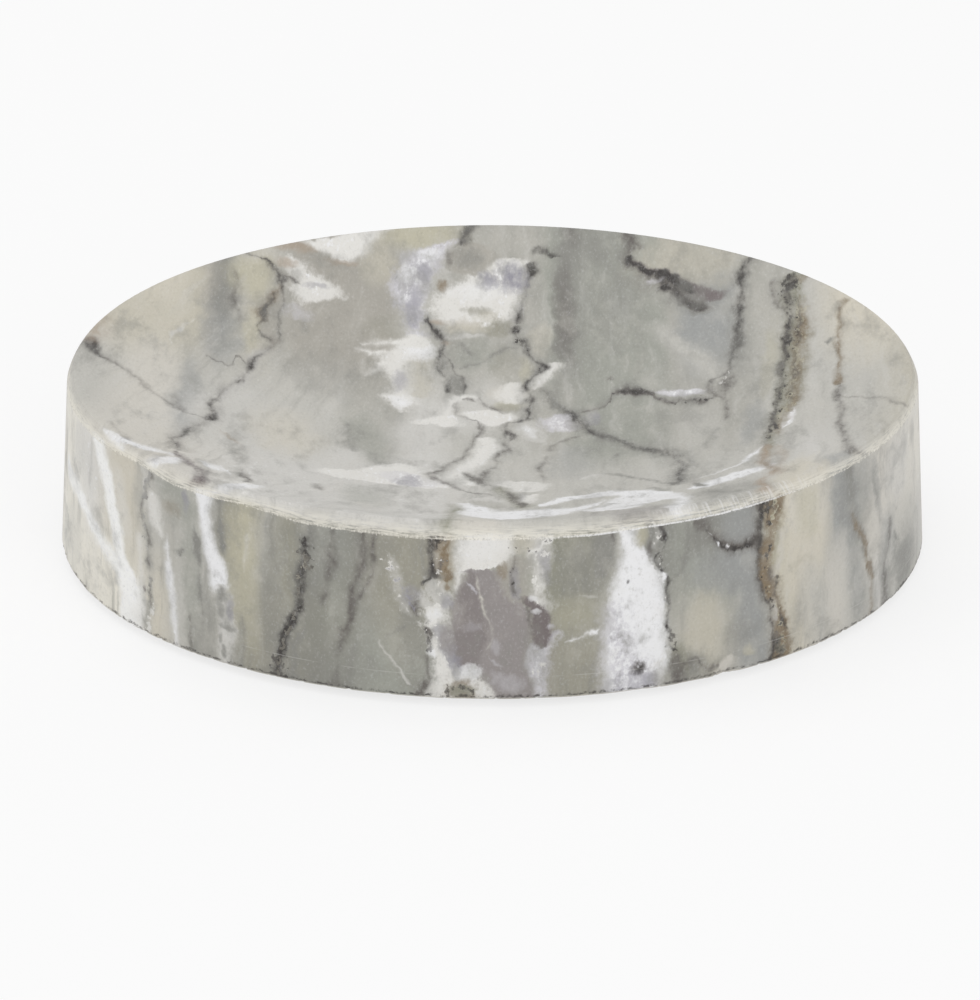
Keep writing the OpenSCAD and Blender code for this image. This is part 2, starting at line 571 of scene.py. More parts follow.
# White and lilac quartz in the bowl, and some plain patches with clear edges.
# The places are (left edge, right edge, how far back).
bowl = laid_over(bowl, "bowl_patches", patch, bowl_x, bowl_y, frayed, (
    # Grey sliver between the two branches of the main vein
    (taupe, 0.9, 0.3, 0.6, (
        (-32.6, -30.9, 38), (-33.5, -30.6, 34), (-34, -30.7, 30), (-33.6, -31, 26),
        (-32.3, -31.7, 22),
    )),
    # Two patches near the far rim on the left
    (bone, 0.9, 0.5, 3.0, (
        (-31.5, -28, 47), (-31, -26.5, 45), (-29.8, -24.8, 43), (-29.8, -22.6, 41.2),
        (-29.7, -21.8, 39.5), (-29, -22.6, 38), (-28.3, -25.5, 36.3), (-28, -27.5, 35.3),
    )),
    (bone, 1.0, 0.5, 1.6, (
        (-17.5, -15.5, 57.3), (-21, -16.3, 55.5), (-25, -16.8, 53.5), (-28, -17.8, 52),
        (-27, -18.8, 50.8), (-24.5, -20.3, 49.2), (-22.8, -21.3, 47.8),
    )),
    (lilac, 0.5, 0.6, 3.0, ((-29.8, -27.5, 35), (-30, -26.5, 32.5), (-29, -27.5, 30.5))),
    # Lilac band behind the middle
    (lilac, 0.95, 0.5, 3.0, (
        (-7, -5.3, 54.9), (-10, -6, 53.3), (-12, -7, 51), (-14, -8, 48), (-14.8, -9, 45.5),
        (-15.6, -9.8, 43), (-15, -9.5, 40), (-13.5, -9.6, 37), (-12.4, -10, 34),
        (-11.9, -10.3, 31), (-11.9, -9.5, 29),
    )),
    # White patch beside it
    (bone, 0.95, 0.5, 3.2, (
        (0.5, 5, 50.3), (-3, 5, 47.5), (-6.3, 5, 44), (-8.5, 4.7, 41), (-9.6, 4, 38),
        (-9.3, 3.4, 36), (-8.6, 3, 34.6),
    )),
    # Round grey inclusion above it
    (taupe, 0.9, 0.4, 1.0, (
        (-4.5, -1, 54.3), (-6.5, 1, 52.5), (-7.4, 1, 50.5), (-7.2, 0.3, 48.5), (-5.5, -1, 47),
    )),
    # White tongue that runs on towards the middle, with its tail
    (bone, 0.9, 0.5, 2.4, (
        (-12.3, -9.8, 29), (-14.5, -8.7, 27), (-15, -9.6, 25), (-15.6, -11, 23),
        (-16.2, -11.5, 21.5), (-16.5, -12.2, 20), (-16, -12.3, 18), (-15, -12.1, 16),
        (-14.6, -11.8, 14), (-14.3, -11.4, 12), (-14.6, -11, 10.5), (-15.6, -10.4, 9),
        (-15, -10.6, 7), (-14.2, -11.7, 5.5), (-13.4, -12.8, 3.5),
    )),
    (bone, 0.9, 0.4, 2.0, (
        (-5.4, -3.6, 11), (-6.3, -4.6, 8), (-7, -5.2, 5), (-7.6, -5, 3), (-10, -4.6, 1.5),
        (-11.5, -4.2, 0), (-9, -5.5, -1.2),
    )),
    (bone, 0.9, 0.4, 1.6, (
        (-2, 0.5, 5.4), (-4.4, 1.6, 4.4), (-4.8, 3.6, 3.2), (-4, 4, 2), (-2.6, 2.6, 0.8),
        (-1.4, 1, -0.2),
    )),
    (sand, 0.6, 0.5, 2.0, ((-11.2, -9.6, 24), (-11.6, -9.4, 18), (-11.2, -9.2, 10))),
    # Blobs beside the middle veins
    (bone, 0.8, 0.4, 1.8, ((1.2, 4.4, 14), (0.6, 4.9, 11.6), (0.8, 4.7, 9.4), (1.6, 4, 8))),
    (bone, 0.9, 0.4, 1.6, ((7.4, 9.8, 21), (6.6, 9.6, 18), (5.9, 8.4, 15), (5.6, 7, 13))),
    (lilac, 0.9, 0.5, 2.4, (
        (7.5, 10.5, 3), (6.5, 11.8, 1.5), (6.8, 12.8, -0.5), (7.5, 12.6, -2), (8.5, 11, -3),
    )),
    (fog, 0.7, 0.5, 3.0, ((3.5, 6, 1.5), (2.6, 6.6, -0.5), (3, 7.2, -3), (4, 7.4, -5.5), (5.5, 7.5, -7))),
    (bone, 0.95, 0.4, 1.8, (
        (-2, -0.6, -5), (-2.4, 1, -8), (-3, 1.2, -11), (-3.6, 0.2, -14), (-4.6, -1, -17),
        (-5.4, -2.6, -20), (-6.2, -3.4, -23), (-6, -2.8, -26), (-4.4, -2, -28.5),
    )),
    (bone, 0.75, 0.4, 1.6, (
        (-0.5, 8, -27.8), (0.6, 7.8, -29), (2, 7.2, -30.5), (3, 6, -32.4),
    )),
    (bone, 0.9, 0.45, 2.0, (
        (-15, -11, -19), (-17.5, -9.8, -21), (-20, -9.4, -23.5), (-24.5, -8.8, -26), (-23, -6.8, -28),
        (-18, -5.6, -29.4), (-12, -6.4, -30.6),
    )),
    (lilac, 0.4, 0.5, 3.0, ((-16, -10, -24), (-15, -7, -28), (-12, -7, -30))),
    # Along the right loop
    (lilac, 0.8, 0.5, 2.0, ((22.8, 25.6, 9.4), (23.8, 30, 8.2), (25.8, 30.6, 7), (28, 30.4, 6.2))),
    (milk, 0.3, 0.4, 2.0, ((23, 25.6, 9.2), (25, 30, 8), (27.4, 30.4, 7.2))),
    # Near the front rim
    (bone, 0.95, 0.35, 1.2, (
        (-35, -32.4, -40.3), (-35.5, -31.9, -42.5), (-36, -31.8, -45), (-36.4, -32.7, -48),
        (-35.8, -33.5, -50),
    )),
    (milk, 1.0, 0.4, 1.6, (
        (-4.8, -2.6, -40.5), (-4.6, -1.2, -43), (-4.5, 0, -46), (-4.2, 1.5, -50),
        (-3, 3.5, -53), (-1, 4.5, -55),
    )),
    (milk, 0.8, 0.5, 2.4, (
        (16.5, 24, -39.5), (15.2, 26, -42), (14.5, 26, -44.5), (14, 21, -47), (12, 20, -49),
    )),
    (milk, 0.85, 0.5, 1.6, ((24.6, 26.2, -44), (24.4, 27, -47), (23.9, 26.8, -50), (23.6, 26, -54))),
    (shell, 0.8, 0.5, 1.4, ((-5.3, -1, -55), (-5.6, 1, -58), (-6, 2, -61))),
))

# Details inside them
bowl = laid_over(bowl, "bowl_details", cloud, bowl_x, bowl_y, torn, (
    (heather, 0.7, (-11.6, 37), (1.3, 7), 0),
    (heather, 0.7, (-10, 47), (1.2, 3), 0),
    (milk, 0.7, (-13, 47), (1.2, 2.5), 0),
    (milk, 0.7, (-9, 51.5), (1.6, 1.6), 0),
    (smoke, 0.7, (-3.6, 50.6), (2.8, 3.2), 0),
    (soot, 0.6, (-6.6, 50.4), (0.8, 2.4), 0),
    (heather, 1.0, (2.8, 45.6), (2.9, 4.8), 0),
    (heather, 0.9, (-1, 45), (1.8, 2.8), 0),
    (umber, 0.9, (-7.8, 43.2), (0.9, 2.6), 5),
    (olive, 0.8, (-2.2, 36.6), (2.7, 1.4), -8),
    (sand, 0.5, (-0.6, 35.2), (2.4, 1.4), 10),
    (rust, 0.4, (-4.6, 32.6), (3, 1.8), 0),
    (shell, 0.9, (-4.6, 32.8), (3.4, 2.2), 0),
    (olive, 1.0, (0.8, 32), (2.6, 3.2), 0),
    (sand, 0.7, (-3.6, 31.8), (3.6, 2), 0),
    (fog, 0.7, (-4, 29.2), (3.6, 0.9), 0),
    (heather, 0.55, (-13.2, 15), (1.2, 4), 0),
    (heather, 0.5, (-26, 40.6), (2.2, 1.2), 0),
    (rust, 0.7, (-30.5, 45.8), (2.4, 1.4), 0),
    (rust, 0.6, (-22.2, 47.6), (2.6, 1.0), 10),
    (milk, 0.8, (-11, 24.5), (3.0, 3.6), 0),
    (milk, 0.4, (-3, 42), (5, 3.4), 0),
    (milk, 0.7, (-13, 7.5), (1.8, 2.8), 0),
    (heather, 0.6, (-11.3, -27.5), (2.4, 3.4), 0),
    (soot, 0.5, (11.5, -1), (1.6, 2.4), 0),
    (heather, 0.6, (4.2, -38), (1.6, 4.5), 0),
    (heather, 0.6, (14.2, 1.5), (1.5, 3), 0),
    (plum, 0.8, (32, 36.8), (2.2, 1.5), 10),
))

# Light and dark veins in the bowl. The places are (across, how far back, half the width).
bowl = laid_over(bowl, "bowl_veins", vein, bowl_x, bowl_y, uneven, (
    # Wisps of quartz, and light seams
    (bone, 0.85, 0.3, 1.6, ((-20, 25.7, 0), (-17.5, 26.3, 0.3), (-14.5, 26.8, 0.7), (-10, 27.3, 1.2))),
    (bone, 0.85, 0.3, 1.6, ((-20.5, 24.2, 0), (-18, 23.6, 0.3), (-15.5, 23.2, 0.7), (-13, 23, 1))),
    (bone, 0.6, 0.3, 1.0, ((-18.5, 15, 0), (-17.8, 17, 0.15), (-16.8, 19, 0.3), (-15.5, 20.5, 0.5))),
    (fog, 0.8, 0.4, 0.8, (
        (-32.2, 21, 0), (-33.2, 18.5, 0.7), (-34.3, 14, 0.6), (-35.6, 8, 0.6), (-37.6, 3, 0.5),
        (-38.2, -4, 0),
    )),
    (milk, 0.25, 0.12, 0.3, ((-42.5, 26.8, 0), (-45, 22.5, 0.08), (-46, 18.5, 0.1), (-45.8, 14.5, 0))),
    (fog, 0.7, 0.2, 0.6, ((-41.3, 3, 0), (-41, 0, 0.3), (-40.6, -4, 0.3), (-40.4, -7.5, 0))),
    (milk, 0.8, 0.3, 1.4, (
        (-54, -25, 0.4), (-52, -27.3, 0.9), (-49.5, -29.6, 1.1), (-46, -30.8, 1.0), (-43.6, -31.6, 0.2),
    )),
    (milk, 0.8, 0.35, 1.6, (
        (-43.4, -32.4, 0), (-44, -34, 1.5), (-45.3, -36.5, 1.5), (-47, -39, 0.6), (-47.5, -40, 0),
    )),
    (milk, 0.75, 0.35, 1.0, ((-40.4, -31.5, 0), (-38.5, -33.5, 1.1), (-36.3, -34.5, 0.8), (-35.7, -36, 0))),
    (milk, 0.95, 0.35, 1.0, (
        (-31.6, -40, 0), (-33, -42, 1), (-34.4, -44.4, 1.5), (-36.5, -47, 1), (-38, -49, 0),
    )),
    (fog, 0.6, 0.4, 1.2, ((-30, -32, 0), (-30.4, -35, 0.5), (-31.4, -39, 0.6), (-31.5, -41, 0))),
    (fog, 0.6, 0.3, 1.2, ((-31.5, -32.3, 0), (-29.5, -31.8, 0.5), (-27, -31, 0.4), (-25, -30, 0))),
    (pearl, 0.8, 0.6, 0.8, (
        (23.5, 32, 0), (25, 28, 0.8), (28, 21.5, 1.4), (30.8, 15.5, 1.4), (32.3, 11, 0.6), (32.5, 9, 0),
    )),
    (milk, 0.95, 0.12, 0.3, (
        (43, -3.6, 0), (42.5, -6, 0.15), (41.6, -10, 0.2), (40.8, -13, 0.15), (40.4, -15, 0),
    )),
    (milk, 0.8, 0.2, 0.5, (
        (27.6, -33.4, 0), (31, -30.4, 0.05), (34, -27, 0.15), (36.5, -22.6, 0.25), (37.8, -18, 0),
    )),
    (milk, 1.0, 0.3, 1.0, (
        (26, -39, 0), (28, -37.7, 1.2), (31, -35.8, 1.5), (34.5, -33.4, 1.4), (37.5, -31.6, 1),
        (39.4, -30.2, 0),
    )),
    (milk, 1.0, 0.3, 1.6, (
        (6.6, -42.6, 0.4), (8.6, -40, 1.2), (11, -38.4, 1.1), (14, -37.2, 1.3), (17, -36.6, 1.3),
        (19.5, -37.6, 1.3), (23.5, -40, 0.8), (25, -41, 0),
    )),
    (bone, 0.9, 0.3, 1.2, ((5.8, -34.6, 0.3), (5.4, -37, 0.6), (5.2, -39, 0.7), (4.8, -41, 0.2))),
    (fog, 0.8, 0.3, 1.0, ((-3.4, -38.6, 0.2), (-2, -37.4, 0.4), (0, -37.6, 0.4), (1.4, -39, 0.2))),
    (ash, 0.8, 0.5, 1.0, ((-1.5, -39, 0.6), (-1, -41.5, 1.6), (0.4, -44, 1))),
    (milk, 1.0, 0.5, 1.6, (
        (-4, -49, 1.4), (0, -50.6, 2.6), (4, -50.8, 3.2), (8, -49.8, 2.6), (11, -47.6, 2), (14, -44, 1),
        (15.5, -41, 0),
    )),
    (bone, 0.7, 0.25, 0.8, (
        (-5.6, 7.2, 0), (-4.8, 9.6, 0.3), (-3, 10, 0.3), (-1.6, 8.4, 0.25), (-1.6, 7, 0),
    )),
    (fog, 0.55, 0.25, 0.8, ((11.8, -26.3, 0), (13, -25.6, 0.5), (15, -24.6, 0.5), (16, -24, 0))),
    (milk, 0.5, 0.3, 0.8, ((4.6, 1, 0), (4.9, -1.5, 0.5), (5.4, -4, 0.4), (5.6, -6, 0))),
    # Halo along the wide veins
    (smoke, 0.75, 0.8, 1.6, (
        (8, 13, 0), (8.6, 8, 0.3), (11, 3.5, 0.5), (13, -1.5, 0.6), (14.5, -5, 0.9), (18, -9, 1.4),
        (21.5, -12.7, 1.9), (24.5, -16.5, 1.9), (26, -21, 0.9), (26, -30, 0.5), (25, -35, 0),
    )),
    (smoke, 0.8, 0.6, 1.6, (
        (11.6, 3.6, 0.2), (14.6, 4.8, 0.4), (16, 6.6, 0.4), (16.8, 9, 0.8), (18, 10.6, 1.6), (20, 11, 1.9),
        (22, 9.4, 1.3), (24, 6.4, 0.9), (26.4, 5, 0.5), (30, 4, 0.6), (31.4, 4.6, 0),
    )),
    (smoke, 0.5, 0.6, 1.2, (
        (3.4, 34, 0.3), (4.6, 28, 0.6), (6.6, 21, 0.6), (5.4, 14, 0.4), (5.2, 8, 0.6), (4.8, 3, 0.5),
        (2.2, -2, 0.4), (1.6, -10, 0.3), (0.4, -18, 0.2), (-1, -25, 0.5), (-1, -29, 0),
    )),
    (smoke, 0.5, 0.9, 1.6, (
        (-10, 36, 0), (-8, 31, 0.4), (-7.4, 26, 0.4), (-7.2, 19, 0.7), (-5.4, 14, 0.8), (-5, 10.5, 0),
    )),
    # Main vein on the left and its branches
    (soot, 0.5, 0.5, 1.0, (
        (-36.5, 47, 0.2), (-33, 45, 0.3), (-31, 41, 0.3), (-30.6, 36, 0), (-30.8, 27, 0),
        (-31.5, 22.5, 0.3), (-34.6, 14, 0.5), (-35.8, 9, 0.3), (-38.6, 2, 0.3), (-39.3, -8, 0.5),
        (-42.3, -15.5, 0.3), (-44.2, -22, 0.2), (-43, -28, 0.4),
    )),
    (ink, 0.8, 0.2, 1.0, (
        (-36.5, 47, 0.1), (-33, 45, 0.3), (-31.5, 43, 0.2), (-31, 41, 0.3), (-30.6, 39.3, 0.1),
        (-30.6, 36, -0.3), (-30.7, 32, -0.3), (-30.8, 26.5, 0.05), (-30.8, 25, 0.15),
        (-31.5, 22.5, 0), (-32.3, 20, 0), (-33.3, 17, 0.1), (-34.5, 14.6, 0.15),
        (-34.9, 13, 0.45), (-35.1, 11.5, 0.15), (-35.3, 10, 0), (-36.1, 8, -0.05),
        (-37.3, 6.2, 0), (-38.3, 4, 0), (-38.9, 0, 0.1), (-39.2, -3, 0.05), (-39, -6, 0.2),
        (-39.5, -9, 0.6), (-40.2, -10, 0.1), (-41.3, -12, 0), (-42.4, -15.5, 0.05),
        (-43.3, -19.5, -0.05), (-44.4, -22, -0.1), (-43.8, -24.5, -0.15), (-43.2, -27, 0),
        (-43.6, -30, -0.1),
    )),
    (umber, 0.7, 0.3, 1.2, (
        (-30.8, 39.5, 0), (-31.8, 37.4, 0.2), (-32.6, 35.5, 0.4), (-33.3, 33.5, 0.3),
        (-33.8, 31, 0.55), (-33.7, 29, 0.3), (-34.2, 27.5, 0),
    )),
    (ink, 0.75, 0.22, 1.0, (
        (-31.2, 38.5, 0), (-32.4, 36, 0.1), (-33.1, 34, 0.15), (-33.5, 31, 0.35), (-33.5, 29, 0.2),
        (-34.2, 27.5, -0.1), (-33.7, 26, -0.1), (-32.6, 24, -0.05), (-32.2, 22, 0),
    )),
    (soot, 0.8, 0.2, 0.8, ((-31.3, 42.3, 0), (-30, 41.5, 0.2), (-28.6, 40.8, 0.1), (-28, 40.5, 0))),
    (soot, 0.75, 0.15, 0.6, (
        (-41.6, 15.2, 0), (-40.3, 14, 0.1), (-38.8, 13, 0.1), (-37.8, 12.6, 0.15), (-37, 14.5, 0.1),
        (-36.2, 16.2, 0.1), (-35.3, 14.6, 0.1),
    )),
    (soot, 0.6, 0.3, 0.8, (
        (-37.8, 43, 0), (-37.3, 38, 0.1), (-37.5, 33, 0.25), (-36.9, 29.5, 0.1), (-36.6, 27, 0),
    )),
    # Notch on the left rim, and the crack from it
    (ink, 1.0, 0.35, 1.0, (
        (-57, 12.4, 0), (-57.2, 10, 0.9), (-56.8, 8, 0.9), (-55.8, 6, 0.3), (-54.6, 4.6, 0),
    )),
    (rust, 0.7, 0.7, 1.0, ((-56, 22, 0), (-56.6, 16, 0.4), (-57.2, 11, 0.6), (-57.4, 9, 0))),
    (soot, 0.5, 0.3, 0.8, (
        (-55, 5.5, 0.3), (-52, 2.5, 0.3), (-50, 0, 0.25), (-47, -3.6, 0.3), (-45, -6, 0.3),
        (-43.4, -8.2, 0.3), (-41.6, -9, 0.25), (-40.2, -9.3, 0.2),
    )),
    (soot, 0.4, 0.25, 0.6, (
        (-44.1, 0, 0), (-44, -3, 0.1), (-43.7, -6, 0.15), (-43.3, -8.4, 0.2), (-43, -9, 0),
    )),
    (soot, 0.4, 0.3, 0.8, ((-53, -20, 0), (-51.5, -24, 0.1), (-50, -28, 0.15), (-49.6, -29, 0))),
    (rust, 0.5, 0.2, 0.6, ((-39.3, -11.5, 0), (-37.5, -14, 0.15), (-35.5, -17, 0.15), (-34.8, -18.5, 0))),
    # Veins of the front left
    (plum, 0.75, 0.35, 1.4, (
        (-43.5, -29.5, 0.1), (-42.6, -32, 0.6), (-41.6, -34.5, 0.6), (-40.4, -36.2, 0.6),
        (-39.5, -37.4, 0.5), (-39.4, -40.5, 0.3), (-39.3, -44.5, 0.2),
    )),
    (soot, 0.5, 0.3, 1.0, (
        (-44.3, -30.5, 0), (-45.3, -33, 0.2), (-46.3, -36, 0.1), (-46.6, -38.5, 0.3), (-46.9, -40, 0),
    )),
    (soot, 0.85, 0.25, 0.8, (
        (-34.9, -28, 0), (-34.6, -30.5, 0), (-34.2, -34, 0.2), (-34.4, -36, 0.3), (-33.6, -38, 0.4),
        (-33.6, -40, 0.3), (-33.8, -41.3, 0),
    )),
    (soot, 0.7, 0.3, 0.8, ((-24.2, -33, 0), (-24.2, -35, 0.25), (-23.7, -37, 0.15), (-23.2, -38.3, 0))),
    (smoke, 0.6, 0.5, 1.2, ((-35.2, -20, 0), (-35.2, -23, 0.3), (-34.8, -26, 0.1), (-34.6, -29, 0))),
    (smoke, 0.7, 0.5, 1.6, ((-20.4, -2, 0), (-20.6, -6, 0.5), (-20.2, -12, 0.5), (-19.5, -15, 0))),
    (smoke, 0.5, 0.5, 1.6, ((-16.4, -14, 0), (-16, -17, 0.3), (-15, -20, 0.2), (-14.6, -21, 0))),
    # Vein behind the middle, down through the lens to the front
    (smoke, 0.6, 0.3, 0.8, (
        (-7.6, 24.5, 0), (-6.9, 19, 0.9), (-5.8, 15.5, 1.2), (-5.2, 12.5, 0.9), (-5.1, 10.5, 0),
    )),
    (ink, 0.85, 0.22, 1.2, thinner(0.18, (
        (-10, 36, 0), (-9.6, 34.4, 0.3), (-8.7, 32.6, 0.5), (-8, 31, 0.55), (-7.6, 29.5, 0.6),
        (-7.2, 27.5, 0.45), (-7.7, 25, 0.5), (-8.2, 22, 0.2), (-8.2, 19.5, 0.15), (-7.6, 18, 0.17),
        (-6.8, 15, 0.17), (-6.4, 12.5, 0.15), (-5.8, 11, 0),
    ))),
    (ink, 0.6, 0.16, 0.8, (
        (-7.2, 24, 0), (-6.2, 21.5, 0.05), (-5.4, 19, 0.05), (-4.5, 16.5, 0.08), (-4.2, 14.5, 0.08),
        (-4.2, 12.5, 0.05), (-4.8, 10.6, 0),
    )),
    (rust, 0.7, 0.3, 1.0, ((-8.3, 35, 0), (-7.8, 33.6, 0.3), (-7.4, 32.6, 0))),
    (rust, 0.6, 0.3, 1.0, ((-7.2, 28.6, 0), (-6.8, 27.3, 0.3), (-6.6, 26.2, 0))),
    (soot, 0.7, 0.22, 1.0, thinner(0.12, (
        (-4.8, 9, 0), (-5.2, 6, 0.2), (-4.8, 3.5, 0.2), (-3.4, 1.6, 0.15), (-1.9, 0.4, 0.3),
        (-1.7, -1.2, 0.3), (-2.3, -4, 0.25), (-3.2, -8, 0.25), (-3.6, -11.5, 0.2),
        (-4.8, -14.5, 0.3), (-5.8, -17, 0.15), (-6.4, -19.5, 0.15), (-7, -21, 0.2),
        (-8.2, -23, 0.7), (-8, -25, 0.5), (-6.8, -27, 0.3), (-5.6, -29.5, 0.4), (-4.4, -31.4, 0.4),
        (-2.4, -33, 0.35), (-0.6, -34.6, 0.2), (0, -36, 0),
    ))),
    (smoke, 0.7, 0.2, 0.8, ((-5, 28.2, 0), (-4.4, 27, 0.1), (-3.6, 25, 0.1), (-3, 23.6, 0))),
    (smoke, 0.8, 0.25, 0.8, (
        (-6, 20.2, 0), (-4.5, 20.4, 0.1), (-2.8, 21.2, 0.2), (-1, 22.8, 0.2), (0.6, 24.6, 0.3),
        (2, 25.8, 0.2), (4.6, 26.4, 0),
    )),
    (soot, 0.65, 0.25, 0.8, ((-2, 10.5, 0), (-1, 7.5, 0.2), (0, 6, 0.3), (1, 4.6, 0.15), (1.4, 3.5, 0))),
    (soot, 0.6, 0.2, 0.8, ((-4.6, 8.8, 0), (-3.8, 9.4, 0.15), (-2.6, 8.8, 0.1), (-1.8, 7.6, 0))),
    (ink, 0.75, 0.3, 1.0, (
        (-3.1, 59, 0.3), (-3.5, 57, 0.45), (-4.3, 55.2, 0.3), (-5, 53.6, 0.1), (-6, 53, 0),
    )),
    # Vein right of the middle, from the far rim to the front
    (ink, 0.9, 0.35, 1.0, (
        (6.8, 54, 0), (7, 53, 0.6), (8.1, 51.8, 0.8), (8.8, 51, 0.3), (7, 50.6, 0), (5.8, 49.6, 0.6),
        (5.7, 47.6, 0.6), (5.4, 46, -0.1), (5, 44, -0.2), (4.6, 41, -0.3), (3.9, 38, -0.3), (3.3, 34, -0.1),
    )),
    (ink, 0.85, 0.25, 1.2, thinner(0.2, (
        (3.2, 34, 0), (3.4, 32, 0.6), (4, 29.5, 0.35), (4.6, 27.6, 0.5), (5.4, 24.6, 0.55),
        (6.2, 22.4, 0.3), (7, 20.6, 0.5), (7.3, 19.5, 0.7), (6.8, 18.2, 0.3), (5.9, 16.4, 0.1),
        (5.6, 15, 0.05), (4.9, 13, 0.55), (5.1, 11, 0.2), (5, 9, 0.6), (5.3, 7.4, 0.3),
        (5, 5.6, 0.55), (5.5, 3.8, 0.3), (4.6, 2.4, 0.3), (3.6, 1.4, 0.5), (2, 0.4, 0.3),
        (2, -1, 0),
    ))),
    (soot, 0.75, 0.25, 1.2, thinner(0.15, (
        (2, 0.4, 0.2), (2, -1.6, 0.2), (2.2, -3.6, 0.4), (2.8, -5.6, 0.5), (2.3, -7, 0.3),
        (2, -9, 0.1), (1.4, -11.4, 0.3), (0.8, -13, 0.4), (0.8, -16, 0.2), (0.4, -19, 0.15),
        (-0.6, -20.8, 0.3), (-1, -23.6, 0.5), (-1.8, -25.4, 0.5), (-1.6, -27.4, 0.2),
        (-0.6, -29, 0.1), (0.6, -29.5, 0),
    ))),
    (ink, 0.7, 0.2, 2.0, ((2, -1.6, 0), (2.2, -3.6, 0.2), (2.8, -5.6, 0.3), (2.3, -7.4, 0))),
    (soot, 0.7, 0.25, 1.0, (
        (-4.2, -21, 0), (-3.8, -22.4, 0.2), (-2.9, -24.5, 0.3), (-2, -26.3, 0.5), (-1.7, -28, 0),
    )),
    (moss, 0.9, 0.5, 1.4, (
        (1, -29.5, 0), (1.5, -31.5, 0.35), (2.5, -35, 0.5), (3, -38, 0.7), (3.8, -41, 0.8),
        (4.2, -43.6, 0.8), (4, -45.2, 0),
    )),
    (soot, 0.85, 0.3, 1.0, (
        (2.2, -31, 0), (2.6, -35, 0.3), (3.2, -39, 0.4), (4.3, -43, 0.5), (4.2, -45, 0),
    )),
    (moss, 0.8, 0.5, 1.2, (
        (-5.2, -41, 0), (-4.9, -46, 0.3), (-5.2, -50, 0.3), (-5.6, -55, 0.3), (-6.2, -60, 0.3),
    )),
    # Vein at the loop, widening towards the front
    (ink, 0.65, 0.35, 1.8, thinner(0.1, (
        (7.8, 13.5, 0), (7.9, 10, 0.15), (8.3, 7.8, 0.2), (9.4, 5.6, 0.2), (10.6, 3.6, 0.4),
        (11.6, 1.8, 0.45), (12.4, 0, 0.6), (13.2, -1.2, 0.5), (13.4, -3.4, 0.3), (14.2, -4.8, 0.6),
        (15.6, -6, 0.45), (17, -7.4, 0.4), (18.4, -9.4, 0.6), (19.4, -11, 0.9), (20.8, -12.4, 1.0),
        (22.4, -14, 1.2), (23.6, -15.6, 0.9), (24.6, -17.4, 0.7), (25.4, -19.4, 0.35),
        (25.9, -21, 0.4), (26, -24, 0.2), (25.9, -27, 0.15), (25.8, -30, 0.15), (25.2, -32, 0.25),
        (24.6, -33.8, 0.5), (24.8, -35.4, 0),
    ))),
    (soot, 0.6, 0.3, 1.0, (
        (14.4, -5, 0), (12, -5.3, 0.3), (10, -6.8, 0.15), (8.2, -9, 0.25), (8, -10.5, 0.2),
        (8.3, -12, 0), (7.4, -14, 0.15), (7, -16.5, 0.2), (6.9, -20, 0.1), (7.1, -24, 0.1), (7.4, -27, 0),
    )),
    (smoke, 0.7, 0.25, 0.8, ((18.8, -12.6, 0), (17.8, -14, 0.2), (17.2, -15.6, 0.3), (17, -17, 0))),
    (smoke, 0.6, 0.25, 1.0, (
        (15.4, -23.4, 0), (16, -24.4, 0.15), (18.4, -26.6, 0.15), (19.8, -28.2, 0.2),
        (22.4, -31.4, 0.2), (24.4, -33.6, 0.3), (25, -35, 0),
    )),
    (smoke, 0.8, 0.3, 1.0, ((21.8, -34.6, 0), (22.4, -36.4, 0.4), (23.2, -37.8, 0.4), (24, -39.5, 0))),
    (smoke, 0.7, 0.3, 1.0, ((27.2, -34.4, 0), (27.8, -35.8, 0.4), (28.6, -37, 0.3), (29, -38, 0))),
    (smoke, 0.7, 0.3, 1.0, ((15.4, -42.4, 0), (16.2, -43.8, 0.3), (15.6, -45.4, 0.2), (15, -48, 0))),
    (smoke, 0.6, 0.4, 0.8, ((29.6, -42.4, 0), (31.2, -44.2, 0.4), (33, -46.2, 0.3), (34, -47.4, 0))),
    # Loop with its knot, and what hangs off it
    (soot, 0.8, 0.22, 0.8, (
        (11.6, 3.4, 0), (13, 4, 0.15), (14.6, 4.6, 0.2), (15.8, 5.4, 0.2), (16.4, 7, 0.3), (16.8, 9, 0.2),
        (17.6, 10.2, 0.7), (18.6, 10.8, 1.1), (19.6, 11.2, 1.4), (20.6, 10.6, 1.1), (21.6, 9.8, 0.8),
        (22.6, 8.4, 0.6), (23.4, 6.8, 0.5), (24.4, 5.6, 0.5), (25.8, 5, 0.3), (27, 5.6, 0.15),
        (28.6, 4.2, 0.3), (30.4, 3.8, 0.4), (31.4, 4.6, 0),
    )),
    (ink, 0.75, 0.35, 1.4, (
        (17.4, 10, 0), (18.4, 11, 0.7), (19.4, 11.4, 0.9), (20.6, 10.8, 0.9), (21.8, 9.8, 0.5), (23, 8.6, 0),
    )),
    (soot, 0.7, 0.2, 0.6, ((16.9, 15.6, 0), (16.7, 14.7, 0.25), (16.3, 13.8, 0))),
    (smoke, 0.8, 0.3, 0.8, ((8, 12, 0), (8.4, 9, 0.4), (8.9, 6, 0.2), (9.4, 4.8, 0))),
    # Vein of the right half, from the far rim down
    (smoke, 0.6, 0.5, 1.0, (
        (38, 45, 0.2), (36.6, 41, 0.7), (36, 35, 0.9), (35.7, 29, 0.7), (35.4, 21, 0.6), (34.6, 16, 0.3),
        (34.2, 12, 0),
    )),
    (ink, 0.75, 0.28, 1.2, thinner(0.2, (
        (38, 45, 0.2), (37, 42.8, 0.3), (36.6, 41, 0.8), (36.2, 39.4, 0.5), (36.3, 37, 0.3),
        (36.4, 35, 0.6), (36.2, 33, 0.65), (35.9, 30.6, 0.5), (35.7, 28, 0.45), (35.6, 25, 0.5),
        (35.5, 22.6, 0.65), (35.2, 21, 0.6), (34.6, 19, 0.1), (34.4, 17.4, 0.15),
